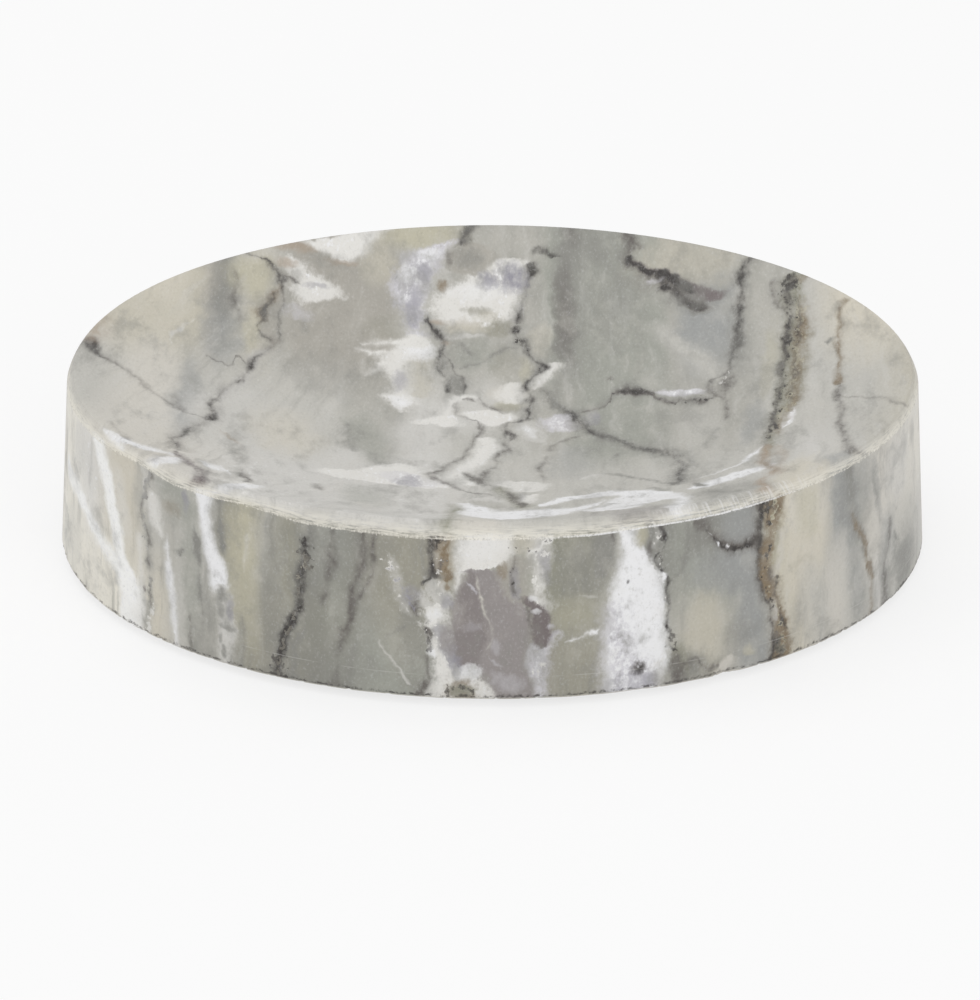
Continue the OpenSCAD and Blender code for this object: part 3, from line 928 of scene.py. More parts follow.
        (34.7, 14.6, 0.2), (34.2, 13.4, 0.1), (33.6, 12, 0.25), (33, 10.8, 0.3), (31.8, 10, 0.1),
        (31, 9, 0.2), (30.8, 8, 0),
    ))),
    (soot, 0.75, 0.28, 1.0, thinner(0.1, (
        (34.6, 12.4, 0), (34.4, 10.6, 0.3), (33.6, 9.4, 0.3), (33, 7.8, 0.6), (33, 6.6, 0.4),
        (32.8, 4, 0.15), (33.4, 1, 0.15), (33.6, -1.4, 0.2), (33.2, -4.4, 0.15), (32.6, -6.4, 0),
    ))),
    (soot, 0.65, 0.2, 0.8, (
        (30.6, 9.8, 0), (30.8, 8, 0.2), (31, 6.4, 0.3), (31.8, 4.8, 0.1), (32.4, 3.6, 0),
    )),
    (smoke, 0.6, 0.4, 1.0, ((31.6, -8, 0), (30.6, -12, 0.2), (30.2, -15, 0.2), (30, -18, 0))),
    # Purple-brown vein under the far right rim
    (smoke, 0.7, 0.9, 1.6, (
        (22, 44, 0.6), (24, 40.5, 1.2), (26.4, 37.4, 1.4), (29, 34.6, 1.6), (31, 32.6, 0.8),
    )),
    (soot, 0.8, 0.4, 1.6, (
        (19.6, 56, 0.3), (20.2, 53, 0.5), (19.8, 50, 0.3), (20.6, 48, 0.6), (22.4, 45.4, 0.9),
        (24.6, 42.6, 1.1), (26.6, 39.6, 1.2), (28.4, 36.8, 1), (29.8, 34.6, 0.8), (30.8, 33, 0.2),
    )),
    (plum, 0.9, 0.3, 1.2, (
        (20.6, 48.4, 0.2), (22.4, 46.6, 0.5), (24.4, 44.6, 0.8), (26.4, 42.4, 0.9), (28.2, 40.2, 0.8),
        (30, 38.6, 0.8), (32, 37.4, 0.8), (33, 36.8, 0.3),
    )),
    (ink, 1.0, 0.3, 1.4, (
        (20, 50.4, 0.2), (20.4, 49, 0.4), (21.6, 47, 0.7),
        (23.2, 45.2, 1), (25, 43.2, 1.2), (26.6, 41.2, 1.2),
        (28, 39.4, 0.8), (29, 38, 0.3),
    )),
    (ink, 0.85, 0.3, 1.8, (
        (25, 40.6, 0.3), (26.6, 38.4, 0.5), (27.8, 36.6, 0.6),
        (29, 35.2, 0.8), (29.9, 34, 0.6), (30.6, 33, 0),
    )),
    (ink, 0.8, 0.2, 1.2, (
        (22, 46.4, 0), (24, 44.4, 0.6), (26, 42.2, 0.9), (27.6, 40.2, 0.6), (28.6, 38.6, 0),
    )),
    (plum, 0.8, 0.25, 1.6, ((30, 38, 0), (31.4, 36.8, 0.6), (32.8, 36.4, 0.6), (33.4, 37, 0))),
    (lilac, 0.7, 0.3, 0.8, ((22.6, 43.6, 0), (23.4, 42.7, 0.3), (24.2, 41.6, 0))),
    (smoke, 0.7, 0.6, 1.2, ((26.4, 38, 0), (26.2, 36.5, 0.4), (26.8, 35.6, 0))),
    (soot, 0.6, 0.4, 1.0, ((20.4, 53.2, 0), (21, 52.2, 0.4), (21.6, 51.4, 0))),
    (soot, 0.4, 0.5, 0.8, ((11, 58, 0.3), (11.4, 55.5, 0.5), (11.8, 53, 0))),
    # Granular vein of the right: dark left strand, brown right strand
    (moss, 0.95, 0.35, 1.2, (
        (44.4, 38.6, 1.0), (43.8, 34, 1.0), (43.4, 28, 1.3), (43.5, 22, 1.6), (43.1, 16, 1.7),
        (42.6, 10, 1.7), (42.1, 4, 1.5), (41.6, 0, 1.3), (41, -4, 1.0), (40.2, -8, 0.7),
        (39.4, -12, 0.6), (38.8, -16, 0.5), (38.6, -20, 0.4), (38.2, -24, 0.1), (38, -27, 0),
    )),
    (umber, 0.75, 0.4, 2.0, (
        (45.6, 37.6, 0.7), (44.6, 34, 0), (44.8, 29, 0.2), (44.8, 24, 0.5), (44.2, 18, 0.6),
        (43.6, 12, 0.6), (43, 6, 0.4), (42.6, 1, 0.3), (41.6, -6, 0.2), (40, -13, 0.1), (39.6, -17, 0),
    )),
    (soot, 0.65, 0.3, 1.6, thinner(0.15, (
        (43.4, 38, 0.5), (43, 34.6, 0.5), (43, 30, 0.4), (42.6, 25.6, 0.6), (42.2, 22, 0.6),
        (41.9, 18, 0.4), (41.8, 14, 0.4), (41.2, 9, 0.3), (40.9, 4, 0.2), (40.4, -1, 0.2),
        (40, -6, 0.3), (39.2, -10, 0.3), (38.4, -14, 0.3), (38, -18, 0.1), (38.4, -22, 0),
    ))),
    (soot, 0.6, 0.3, 1.6, ((41.4, 39, 0), (41, 37.4, 0.3), (41, 34, 0.1), (42, 29, 0.1), (42.3, 25, 0))),
    (ink, 0.6, 0.16, 1.6, thinner(0.05, (
        (43.6, 38.6, 0.2), (43.2, 33, 0.1), (42.8, 26, 0.15), (42.2, 20, 0.2), (41.9, 14, 0.1),
        (41.4, 8, 0.1), (40.7, 0, 0.05), (39.8, -8, 0.1), (38.8, -14, 0),
    ))),
    (ink, 0.55, 0.16, 1.6, (
        (44.2, 32, 0), (44.4, 26, 0.1), (43.9, 19, 0.05), (43.3, 12, 0.1), (42.6, 4, 0.05), (41.8, -3, 0),
    )),
    (rust, 0.9, 0.35, 1.2, (
        (38.4, -18, 0), (37.8, -25, 0.4), (37.2, -28.5, 0.4), (38.2, -32, 0.3), (38.4, -35, 0.4),
        (37.4, -38, 0.3), (36.6, -42, 0.4), (36.8, -45, 0.3), (36.4, -48, 0.6),
    )),
    (rust, 0.45, 0.3, 1.0, (
        (39.8, -20, 0), (39.9, -25, 0.15), (40, -31, 0.1), (39, -36, 0.15), (38.6, -40, 0),
    )),
    # Thin veins near the right rim
    (umber, 0.75, 0.2, 0.8, (
        (50.9, 29, 0), (50.7, 27.6, 0.4), (50.1, 25.5, 0.15), (49.9, 20, 0.12), (49.8, 15, 0.12),
        (49.6, 10, 0.12), (49, 5, 0.12), (48.9, 0, 0.15),
    )),
    (soot, 0.7, 0.25, 0.8, (
        (49, 1, 0), (48.9, -2, 0.25), (48.8, -6, 0.25), (48.7, -12, 0.2), (48.5, -18, 0.2),
        (48.4, -24, 0.12), (48.7, -29, 0.2), (49.2, -33, 0.3), (49.6, -35, 0),
    )),
    (smoke, 0.8, 0.2, 0.6, ((47.4, 17, 0), (48, 16.7, 0.2), (49, 16.9, 0.25), (50, 17.1, 0))),
    (soot, 0.45, 0.25, 0.6, (
        (49.2, -4.8, 0), (50.4, -6, 0.15), (52.4, -7.6, 0.12), (54.4, -9.6, 0.15), (56, -12.4, 0.15),
        (57.2, -14.6, 0.1),
    )),
))

# Grains in the widest vein and beside the veins of the middle
bowl = laid_over(bowl, "bowl_flecks", vein, bowl_x, bowl_y, torn, (
    (straw, 0.3, 0.08, 9.0, (
        (44.8, 32, -0.9), (44.5, 24, -0.3), (43.8, 16, -0.2), (43, 8, -0.2), (42, 0, -0.4),
        (40.6, -9, -0.8),
    )),
    (ink, 0.6, 0.06, 9.0, (
        (43.4, 39, -0.5), (43, 30, -0.3), (42.6, 20, -0.3), (42, 10, -0.4), (41.2, 0, -0.4),
        (39.8, -9, -0.5), (38.6, -17, -0.9),
    )),
    (ink, 0.7, 0.06, 9.0, ((3.6, 32, -0.9), (4.6, 27, -0.8), (6.4, 22, -0.9), (7, 18, -1.0))),
    (ink, 0.7, 0.06, 9.0, (
        (17, 9.6, -0.8), (20, 11, -0.2), (23, 7.4, -0.7), (26, 4.8, -0.8), (31, 4, -0.8),
    )),
    (fog, 0.6, 0.06, 9.0, ((30.4, 8, -0.8), (32.6, 8.6, -0.4), (34.4, 11, -0.6), (35, 14, -0.9))),
))

# Broad bands round the front of the wall, near its top and near its foot
high_bands = bands(wall_x, 100, (
    (-96, mist), (-80, mist), (-70, bone), (-63, cream), (-58, cream), (-53, pearl), (-49, ash),
    (-46, pearl), (-41, pearl), (-38.5, olive), (-35, straw), (-32, ash), (-28, olive), (-23, sage),
    (-18, smoke), (-14.5, olive), (-9, olive), (2, ash), (8, moss), (13, moss), (17, ash),
    (22, smoke), (27, sage), (33, sage), (37, slate), (41, straw), (44, cream), (50, cream),
    (54, slate), (60, ash), (65, shell), (96, mist),
))
low_bands = bands(wall_x, 100, (
    (-96, mist), (-80, mist), (-70, mist), (-60, mist), (-51, cream), (-47, pearl), (-43, ash),
    (-37, ash), (-34, olive), (-30, olive), (-24, smoke), (-15, sage), (-10, sage), (2, mauve),
    (9, olive), (14, olive), (24, ash), (30, sand), (34, ash), (38.5, slate), (42, sand),
    (46, cream), (50, pearl), (53, shell), (56, pearl), (60, pearl), (64, fog), (68, pearl),
    (76, ash), (84, pearl), (90, fog), (96, fog),
))
wall = low_bands.cover(high_bands, wall_y.rise(5, 17))
wall = wall.cover(smoke, streaks.rise(0.5, 0.72, 0.5))
wall = wall.cover(fog, streaks.rise(0.5, 0.3, 0.2))

# Soft clouds round the wall: colour, strength, middle, half its length and height, turn
wall = laid_over(wall, "wall_clouds", cloud, wall_x, wall_y, flame, (
    (pearl, 0.4, (-79, 5), (6, 5), 20),
    (fog, 0.5, (-74, 19), (7, 5), 0),
    (cream, 0.9, (-60, 19), (5, 8), 0),
    (cream, 0.6, (-59, 12), (3, 6), 20),
    (bone, 0.5, (-60.4, 16.5), (2.6, 6), 20),
    (smoke, 0.5, (-54.8, 5), (1, 3.4), 0),
    (ash, 0.6, (-55.6, 21), (2, 6), 0),
    (sage, 0.8, (-47.5, 21.5), (5, 4), 0),
    (ash, 0.3, (-47.5, 14), (3, 8), 0),
    (sage, 0.7, (-44.4, 11), (2.2, 13), 4),
    (smoke, 0.5, (-42.6, 2.5), (3, 4.5), 0),
    (olive, 0.5, (-35, 8), (2.6, 9), 0),
    (smoke, 0.5, (-39.4, 20), (1.4, 8), 0),
    (straw, 0.6, (-36, 14), (3.6, 13), 8),
    (smoke, 1.0, (-24.8, 14), (2.6, 12), 0),
    (moss, 0.4, (-24, 14), (9, 14), 0),
    (smoke, 0.5, (-31, 8), (2.5, 12), 0),
    (slate, 0.3, (-23, 20), (4, 8), 0),
    (olive, 0.6, (-12.5, 12), (4, 10), 12),
    (smoke, 0.45, (-10.6, 9), (2.4, 8), 0),
    (smoke, 0.7, (12, 18), (4.5, 6), 0),
    (smoke, 0.7, (34, 21), (5, 5), 0),
    (smoke, 1.0, (30, 20.6), (3.6, 4), 0),
    (smoke, 0.4, (20, 20.4), (2.4, 3.4), 0),
    (straw, 0.3, (11, 12), (4, 3), 0),
    (slate, 0.9, (35, 19), (4, 9), 0),
    (slate, 0.7, (33, 15), (7, 3.5), -10),
    (slate, 0.8, (36.8, 8), (2.4, 12), 0),
    (sand, 0.8, (29.5, 7.6), (4, 4.6), 0),
    (smoke, 0.85, (27, 2), (5, 3), 0),
    (smoke, 0.5, (34.6, 5), (3.4, 3.4), 0),
    (straw, 0.8, (20.4, 22.6), (1.3, 2.6), 0),
    (cream, 0.8, (46.5, 18), (5, 10), 0),
    (smoke, 0.35, (45.2, 4.8), (1.8, 3.4), 0),
    (smoke, 0.5, (72, 4), (5, 3.6), 0),
    (smoke, 0.3, (60, 3.4), (2, 3.6), 0),
    (bone, 0.35, (47.5, 21), (5, 4.5), 0),
    (straw, 0.6, (47.5, 20), (3, 5), 0),
    (pearl, 0.6, (47.5, 7), (2.6, 7), 0),
    (shell, 0.5, (53, 6), (2.6, 8), 0),
    (slate, 0.9, (55.4, 20), (3.4, 6.5), 12),
    (smoke, 0.4, (56.4, 18), (2.4, 7), 20),
    (slate, 0.5, (57.5, 9), (2.4, 9), 8),
    (shell, 0.5, (54.4, 12), (2, 4.5), 0),
    (slate, 0.4, (61, 20), (3.4, 5.5), 0),
    (slate, 0.5, (64.5, 16), (1.2, 8), 5),
    (shell, 0.9, (63, 11.6), (3.2, 6), 6),
    (smoke, 0.6, (66.4, 3), (2.6, 4), 0),
    (fog, 0.6, (72, 19), (6, 6), 0),
    (slate, 0.4, (68, 10), (3, 5), 0),
    (smoke, 0.9, (74, 4.4), (6.5, 4), 0),
    (smoke, 0.5, (80, 20.5), (2, 2.5), 0),
))

# Quartz and other patches with clear edges: the places are (left, right, height)
wall = laid_over(wall, "wall_patches", patch, wall_x, wall_y, frayed, (
    (snow, 0.95, 0.35, 1.2, (
        (-70.5, -66.5, 26), (-68.5, -64.5, 21), (-66, -62, 17), (-63.7, -60, 13),
        (-62, -58.4, 9.5), (-61, -55.6, 7), (-60, -54.2, 4), (-59, -53.8, 0),
    )),
    (bone, 0.7, 0.4, 0.8, ((-56, -55.3, 14.5), (-56, -54.7, 10), (-55.6, -53.8, 5), (-55.4, -53.6, 0))),
    (bone, 0.7, 0.3, 1.4, ((-55.2, -53.4, 24.5), (-55, -54, 22), (-54.6, -54, 20), (-54.4, -54, 18))),
    (bone, 0.8, 0.4, 1.4, (
        (-54.2, -51.8, 20.6), (-53.8, -50.8, 18.5), (-52.6, -50.4, 16.5), (-51.2, -50.6, 15.2),
    )),
    (milk, 1.0, 0.3, 0.8, (
        (-44, -41.1, 25), (-43.4, -40.9, 21), (-42.8, -40.3, 18), (-41.9, -38.9, 15),
        (-41.2, -38.2, 12.5), (-40.8, -37.7, 11), (-40, -38.2, 10.2),
    )),
    (fog, 0.95, 0.35, 2.0, (
        (-40, -37.8, 10.6), (-39.8, -37, 9), (-39.6, -36.4, 6), (-39.8, -35.8, 4.6),
        (-39.7, -36.6, 3), (-39.3, -37, 1), (-39, -37.4, -1),
    )),
    (smoke, 0.9, 0.3, 0.8, ((15.4, 16.6, 24.5), (13, 16.6, 21), (14, 16, 18), (14.6, 15.2, 17))),
    (milk, 1.0, 0.4, 1.4, (
        (17, 19.4, 25), (17.2, 20.2, 21.5), (17.2, 21.6, 20), (16.9, 22.4, 18.4), (16.2, 23.4, 16.4),
        (15.9, 23.8, 14), (15.8, 24, 11), (15.2, 23.9, 8), (14.8, 24.3, 5.4), (15.3, 24, 3),
        (15.6, 22.8, 0.5), (16, 22.4, -1),
    )),
    (lilac, 0.9, 0.8, 2.4, ((15.4, 17.8, 13), (14.8, 19.2, 9), (14.6, 20, 6), (15, 22, 3), (15.4, 23, -1))),
    # White cap over the mauve quartz
    (bone, 1.0, 0.35, 1.6, (
        (-4.2, 3.2, 25), (-4.2, 3, 22.5), (-4.5, 2.9, 21), (-4.7, 2.7, 19.8), (-4.8, 2, 18.8),
        (-5, -3.2, 18.3), (-5, -3.9, 16.8), (-4.9, -4.5, 15.2),
    )),
    # White grains on both sides of it
    (fog, 0.8, 0.3, 3.6, (
        (-8.2, -5.8, 17.5), (-9.4, -5.6, 15), (-9.2, -5.7, 12), (-9, -5.8, 10), (-8.4, -5.6, 7),
        (-8.8, -5.2, 4.8), (-9, -3, 3.4), (-8.8, -1.5, 1.4), (-9.4, -2, -1),
    )),
    (bone, 0.85, 0.35, 3.0, (
        (-9.2, -7, 12.6), (-9, -6.6, 11.4), (-8.6, -7.4, 10), (-8.2, -7.6, 8), (-8.7, -6.8, 6.4),
        (-8, -4.4, 4.4), (-7.6, -1, 3), (-7.6, 1, 1.2), (-8, 1.6, -1),
    )),
    (fog, 0.9, 0.5, 3.0, (
        (3.4, 9, 25), (3.8, 7.5, 22), (4.6, 7.2, 19), (4.8, 6.2, 16.5), (4.6, 7.4, 14.6),
        (5.4, 7.8, 13.2), (5, 5.4, 11),
    )),
    (lilac, 0.95, 0.4, 2.4, (
        (7.8, 8.8, 9.4), (5, 8.2, 7.8), (4.6, 7.8, 6), (4.8, 7.6, 4.4), (5.2, 7.6, 3),
        (5.6, 7.6, 1.5), (6, 7.4, -1),
    )),
    # Mauve quartz: its grey left half, its pinker right half and the dark lobe
    (mauve, 1.0, 0.22, 0.6, (
        (-3, -2.4, 18.8), (-3.4, 2, 18), (-3.9, 2.3, 16.6), (-4.7, 3.4, 15), (-5, 4.4, 13.4),
        (-5.3, 4.8, 12), (-5.3, 5.2, 10), (-5.2, 4.9, 8), (-5.2, 4.5, 6.4), (-5, 4.7, 5.2),
        (-1.4, 5, 4.2), (-0.4, 5.4, 3), (0.1, 6, 1.6), (0.5, 5.8, 0.4), (0.8, 5.6, -1),
    )),
    (plum, 0.45, 0.2, 0.4, (
        (-3.6, -2.4, 18.2), (-3.9, -2, 16.4), (-4.7, -1.6, 15), (-5.2, -0.8, 12), (-5.3, 0, 10),
        (-5.2, -0.6, 7.4), (-5, -1.2, 5.4), (-2, -1.4, 4.4),
    )),
    (plum, 1.0, 0.2, 1.2, (
        (3, 5.4, 14.6), (4.4, 6.8, 13.4), (4.8, 7.6, 12.4), (5, 8, 11), (5, 8.4, 9.6),
        (5.4, 8, 8.6), (6, 7.4, 7.7),
    )),
    (taupe, 0.8, 0.3, 2.0, ((1.6, 4.6, 19.2), (0.4, 4.8, 17.6), (1.2, 4.6, 15.2), (2.4, 4, 14))),
    # Olive and brown grains at the foot
    (umber, 0.75, 0.4, 3.0, ((-4.6, -2.8, 3), (-5.6, -2.2, 1.4), (-6.2, -1.8, -0.6))),
    # Pale chip at the foot, right of the middle
    (shell, 0.95, 0.3, 1.2, ((33.4, 34, 2.6), (32, 34.4, 1.8), (31, 34.2, 0.8), (30.4, 33.6, -0.6))),
    # Inclusions in the brown vein
    (umber, 0.9, 0.4, 2.0, (
        (38.6, 42.6, 25), (38.8, 42.8, 21), (38.6, 41.6, 18), (38.8, 41.2, 14), (39.4, 42.4, 11.5),
        (40, 42.4, 9), (40.2, 43.2, 6), (40.2, 43.4, 3), (40.2, 43.2, -1),
    )),
    (shell, 0.8, 0.3, 1.6, (
        (41.9, 42.6, 19), (41.6, 42.8, 17), (41.3, 42.6, 15), (41.1, 42.4, 13.6), (41.2, 41.8, 12.6),
    )),
    (fog, 0.85, 0.3, 1.4, ((40.2, 40.8, 10), (40.2, 41.6, 8.4), (40.4, 41.9, 6.8), (40.8, 41.8, 5.4))),
))

# Details inside them
wall = laid_over(wall, "wall_details", cloud, wall_x, wall_y, torn, (
    (umber, 0.35, (-49, 19.6), (2.2, 1.4), 0),
    (heather, 0.6, (-46, 21.6), (0.7, 2), 0),
    (smoke, 0.9, (-38.8, 9.6), (1.4, 1.5), 0),
    (smoke, 0.8, (-39.1, 7.6), (0.8, 1.3), 0),
    (heather, 0.7, (-37.4, 7.8), (0.8, 1.6), 0),
    (smoke, 0.8, (-38, 5.4), (1.6, 0.7), 0),
    (smoke, 0.9, (-38.4, 1.8), (0.6, 1.2), 0),
    (smoke, 0.7, (-39.1, 3.4), (0.5, 0.9), 0),
    (sand, 0.7, (-6, 20.4), (1.9, 5.4), 0),
    (rust, 0.3, (-6.4, 20.4), (1.6, 4.6), 0),
    (umber, 0.8, (-6, 15.9), (0.7, 0.8), 0),
    (umber, 0.9, (-6.0, 19.8), (0.7, 2.6), 0),
    (umber, 0.6, (-6.6, 22.6), (1.4, 1.6), 0),
    (mauve, 0.9, (-4.9, 12.4), (0.9, 3), 0),
    (heather, 0.8, (-5, 5), (1.4, 1.6), 0),
    (soot, 0.5, (-4.2, 1.2), (1.6, 1), 0),
    (olive, 0.6, (-7, 18), (1.4, 1), 0),
    (heather, 0.6, (-6.8, 9.2), (1.8, 1.2), 0),
    (heather, 0.7, (-6, 7), (1.4, 2.4), 0),
    (mauve, 0.75, (-6, 8.4), (1.3, 3), 0),
    (mauve, 0.7, (-5.4, 12.6), (0.8, 1.8), 0),
    (heather, 0.5, (-10.6, 14.6), (1.6, 2), 0),
    (milk, 0.5, (-7.9, 11.6), (1.2, 1.1), 0),
    (heather, 0.6, (-6.4, 13.6), (1, 1.4), 0),
    (milk, 0.8, (-8.2, 6.5), (0.8, 0.9), 0),
    (milk, 0.8, (-3, 4.2), (2.2, 1.1), 0),
    (milk, 0.3, (-2, 22), (3.6, 2.6), 0),
    (umber, 0.6, (1.6, 18.2), (0.9, 1), 0),
    (sand, 0.7, (4, 22), (1.8, 2.4), 0),
    (heather, 0.5, (6.6, 19), (1, 3.4), 10),
    (heather, 0.6, (3, 16.6), (0.8, 2.4), 0),
    (lilac, 0.3, (0.8, 8), (0.8, 1.4), 0),
    (lilac, 0.2, (-2.6, 10.6), (1.4, 0.9), 0),
    (lilac, 0.35, (2.4, 2.6), (3, 1.6), -20),
    (milk, 0.6, (5.2, 14.7), (0.9, 0.4), 0),
    (milk, 0.6, (5.6, 12.8), (0.8, 0.5), 0),
    (lilac, 0.6, (7.8, 10.3), (0.6, 0.5), 0),
    (moss, 0.9, (-3.8, 1.4), (2, 1.3), 0),
    (ink, 0.9, (18.1, 16.1), (0.36, 0.6), 0),
    (soot, 0.9, (19.6, 3.3), (1.2, 1.2), 0),
    (ink, 1.0, (19.7, 3.2), (0.9, 0.9), 0),
    (heather, 0.35, (19, 1.4), (3.6, 1.8), 0),
    (milk, 0.7, (19.6, 3.6), (0.25, 0.25), 0),
    (heather, 0.5, (21.2, 1.2), (1.6, 1.2), 0),
    (olive, 0.5, (22.6, 1.2), (1.4, 2), 0),
    (soot, 0.9, (21.8, 20.2), (0.6, 1.1), -15),
    (moss, 0.95, (25.8, 3.8), (2, 2.6), 0),
    (soot, 0.9, (25.3, 2.2), (1.5, 2.6), 0),
    (straw, 0.6, (36.6, 3), (1.2, 1), 0),
    (umber, 0.4, (61, 11.2), (0.5, 1), 20),
    (umber, 0.5, (62, 7), (0.6, 1), 0),
))

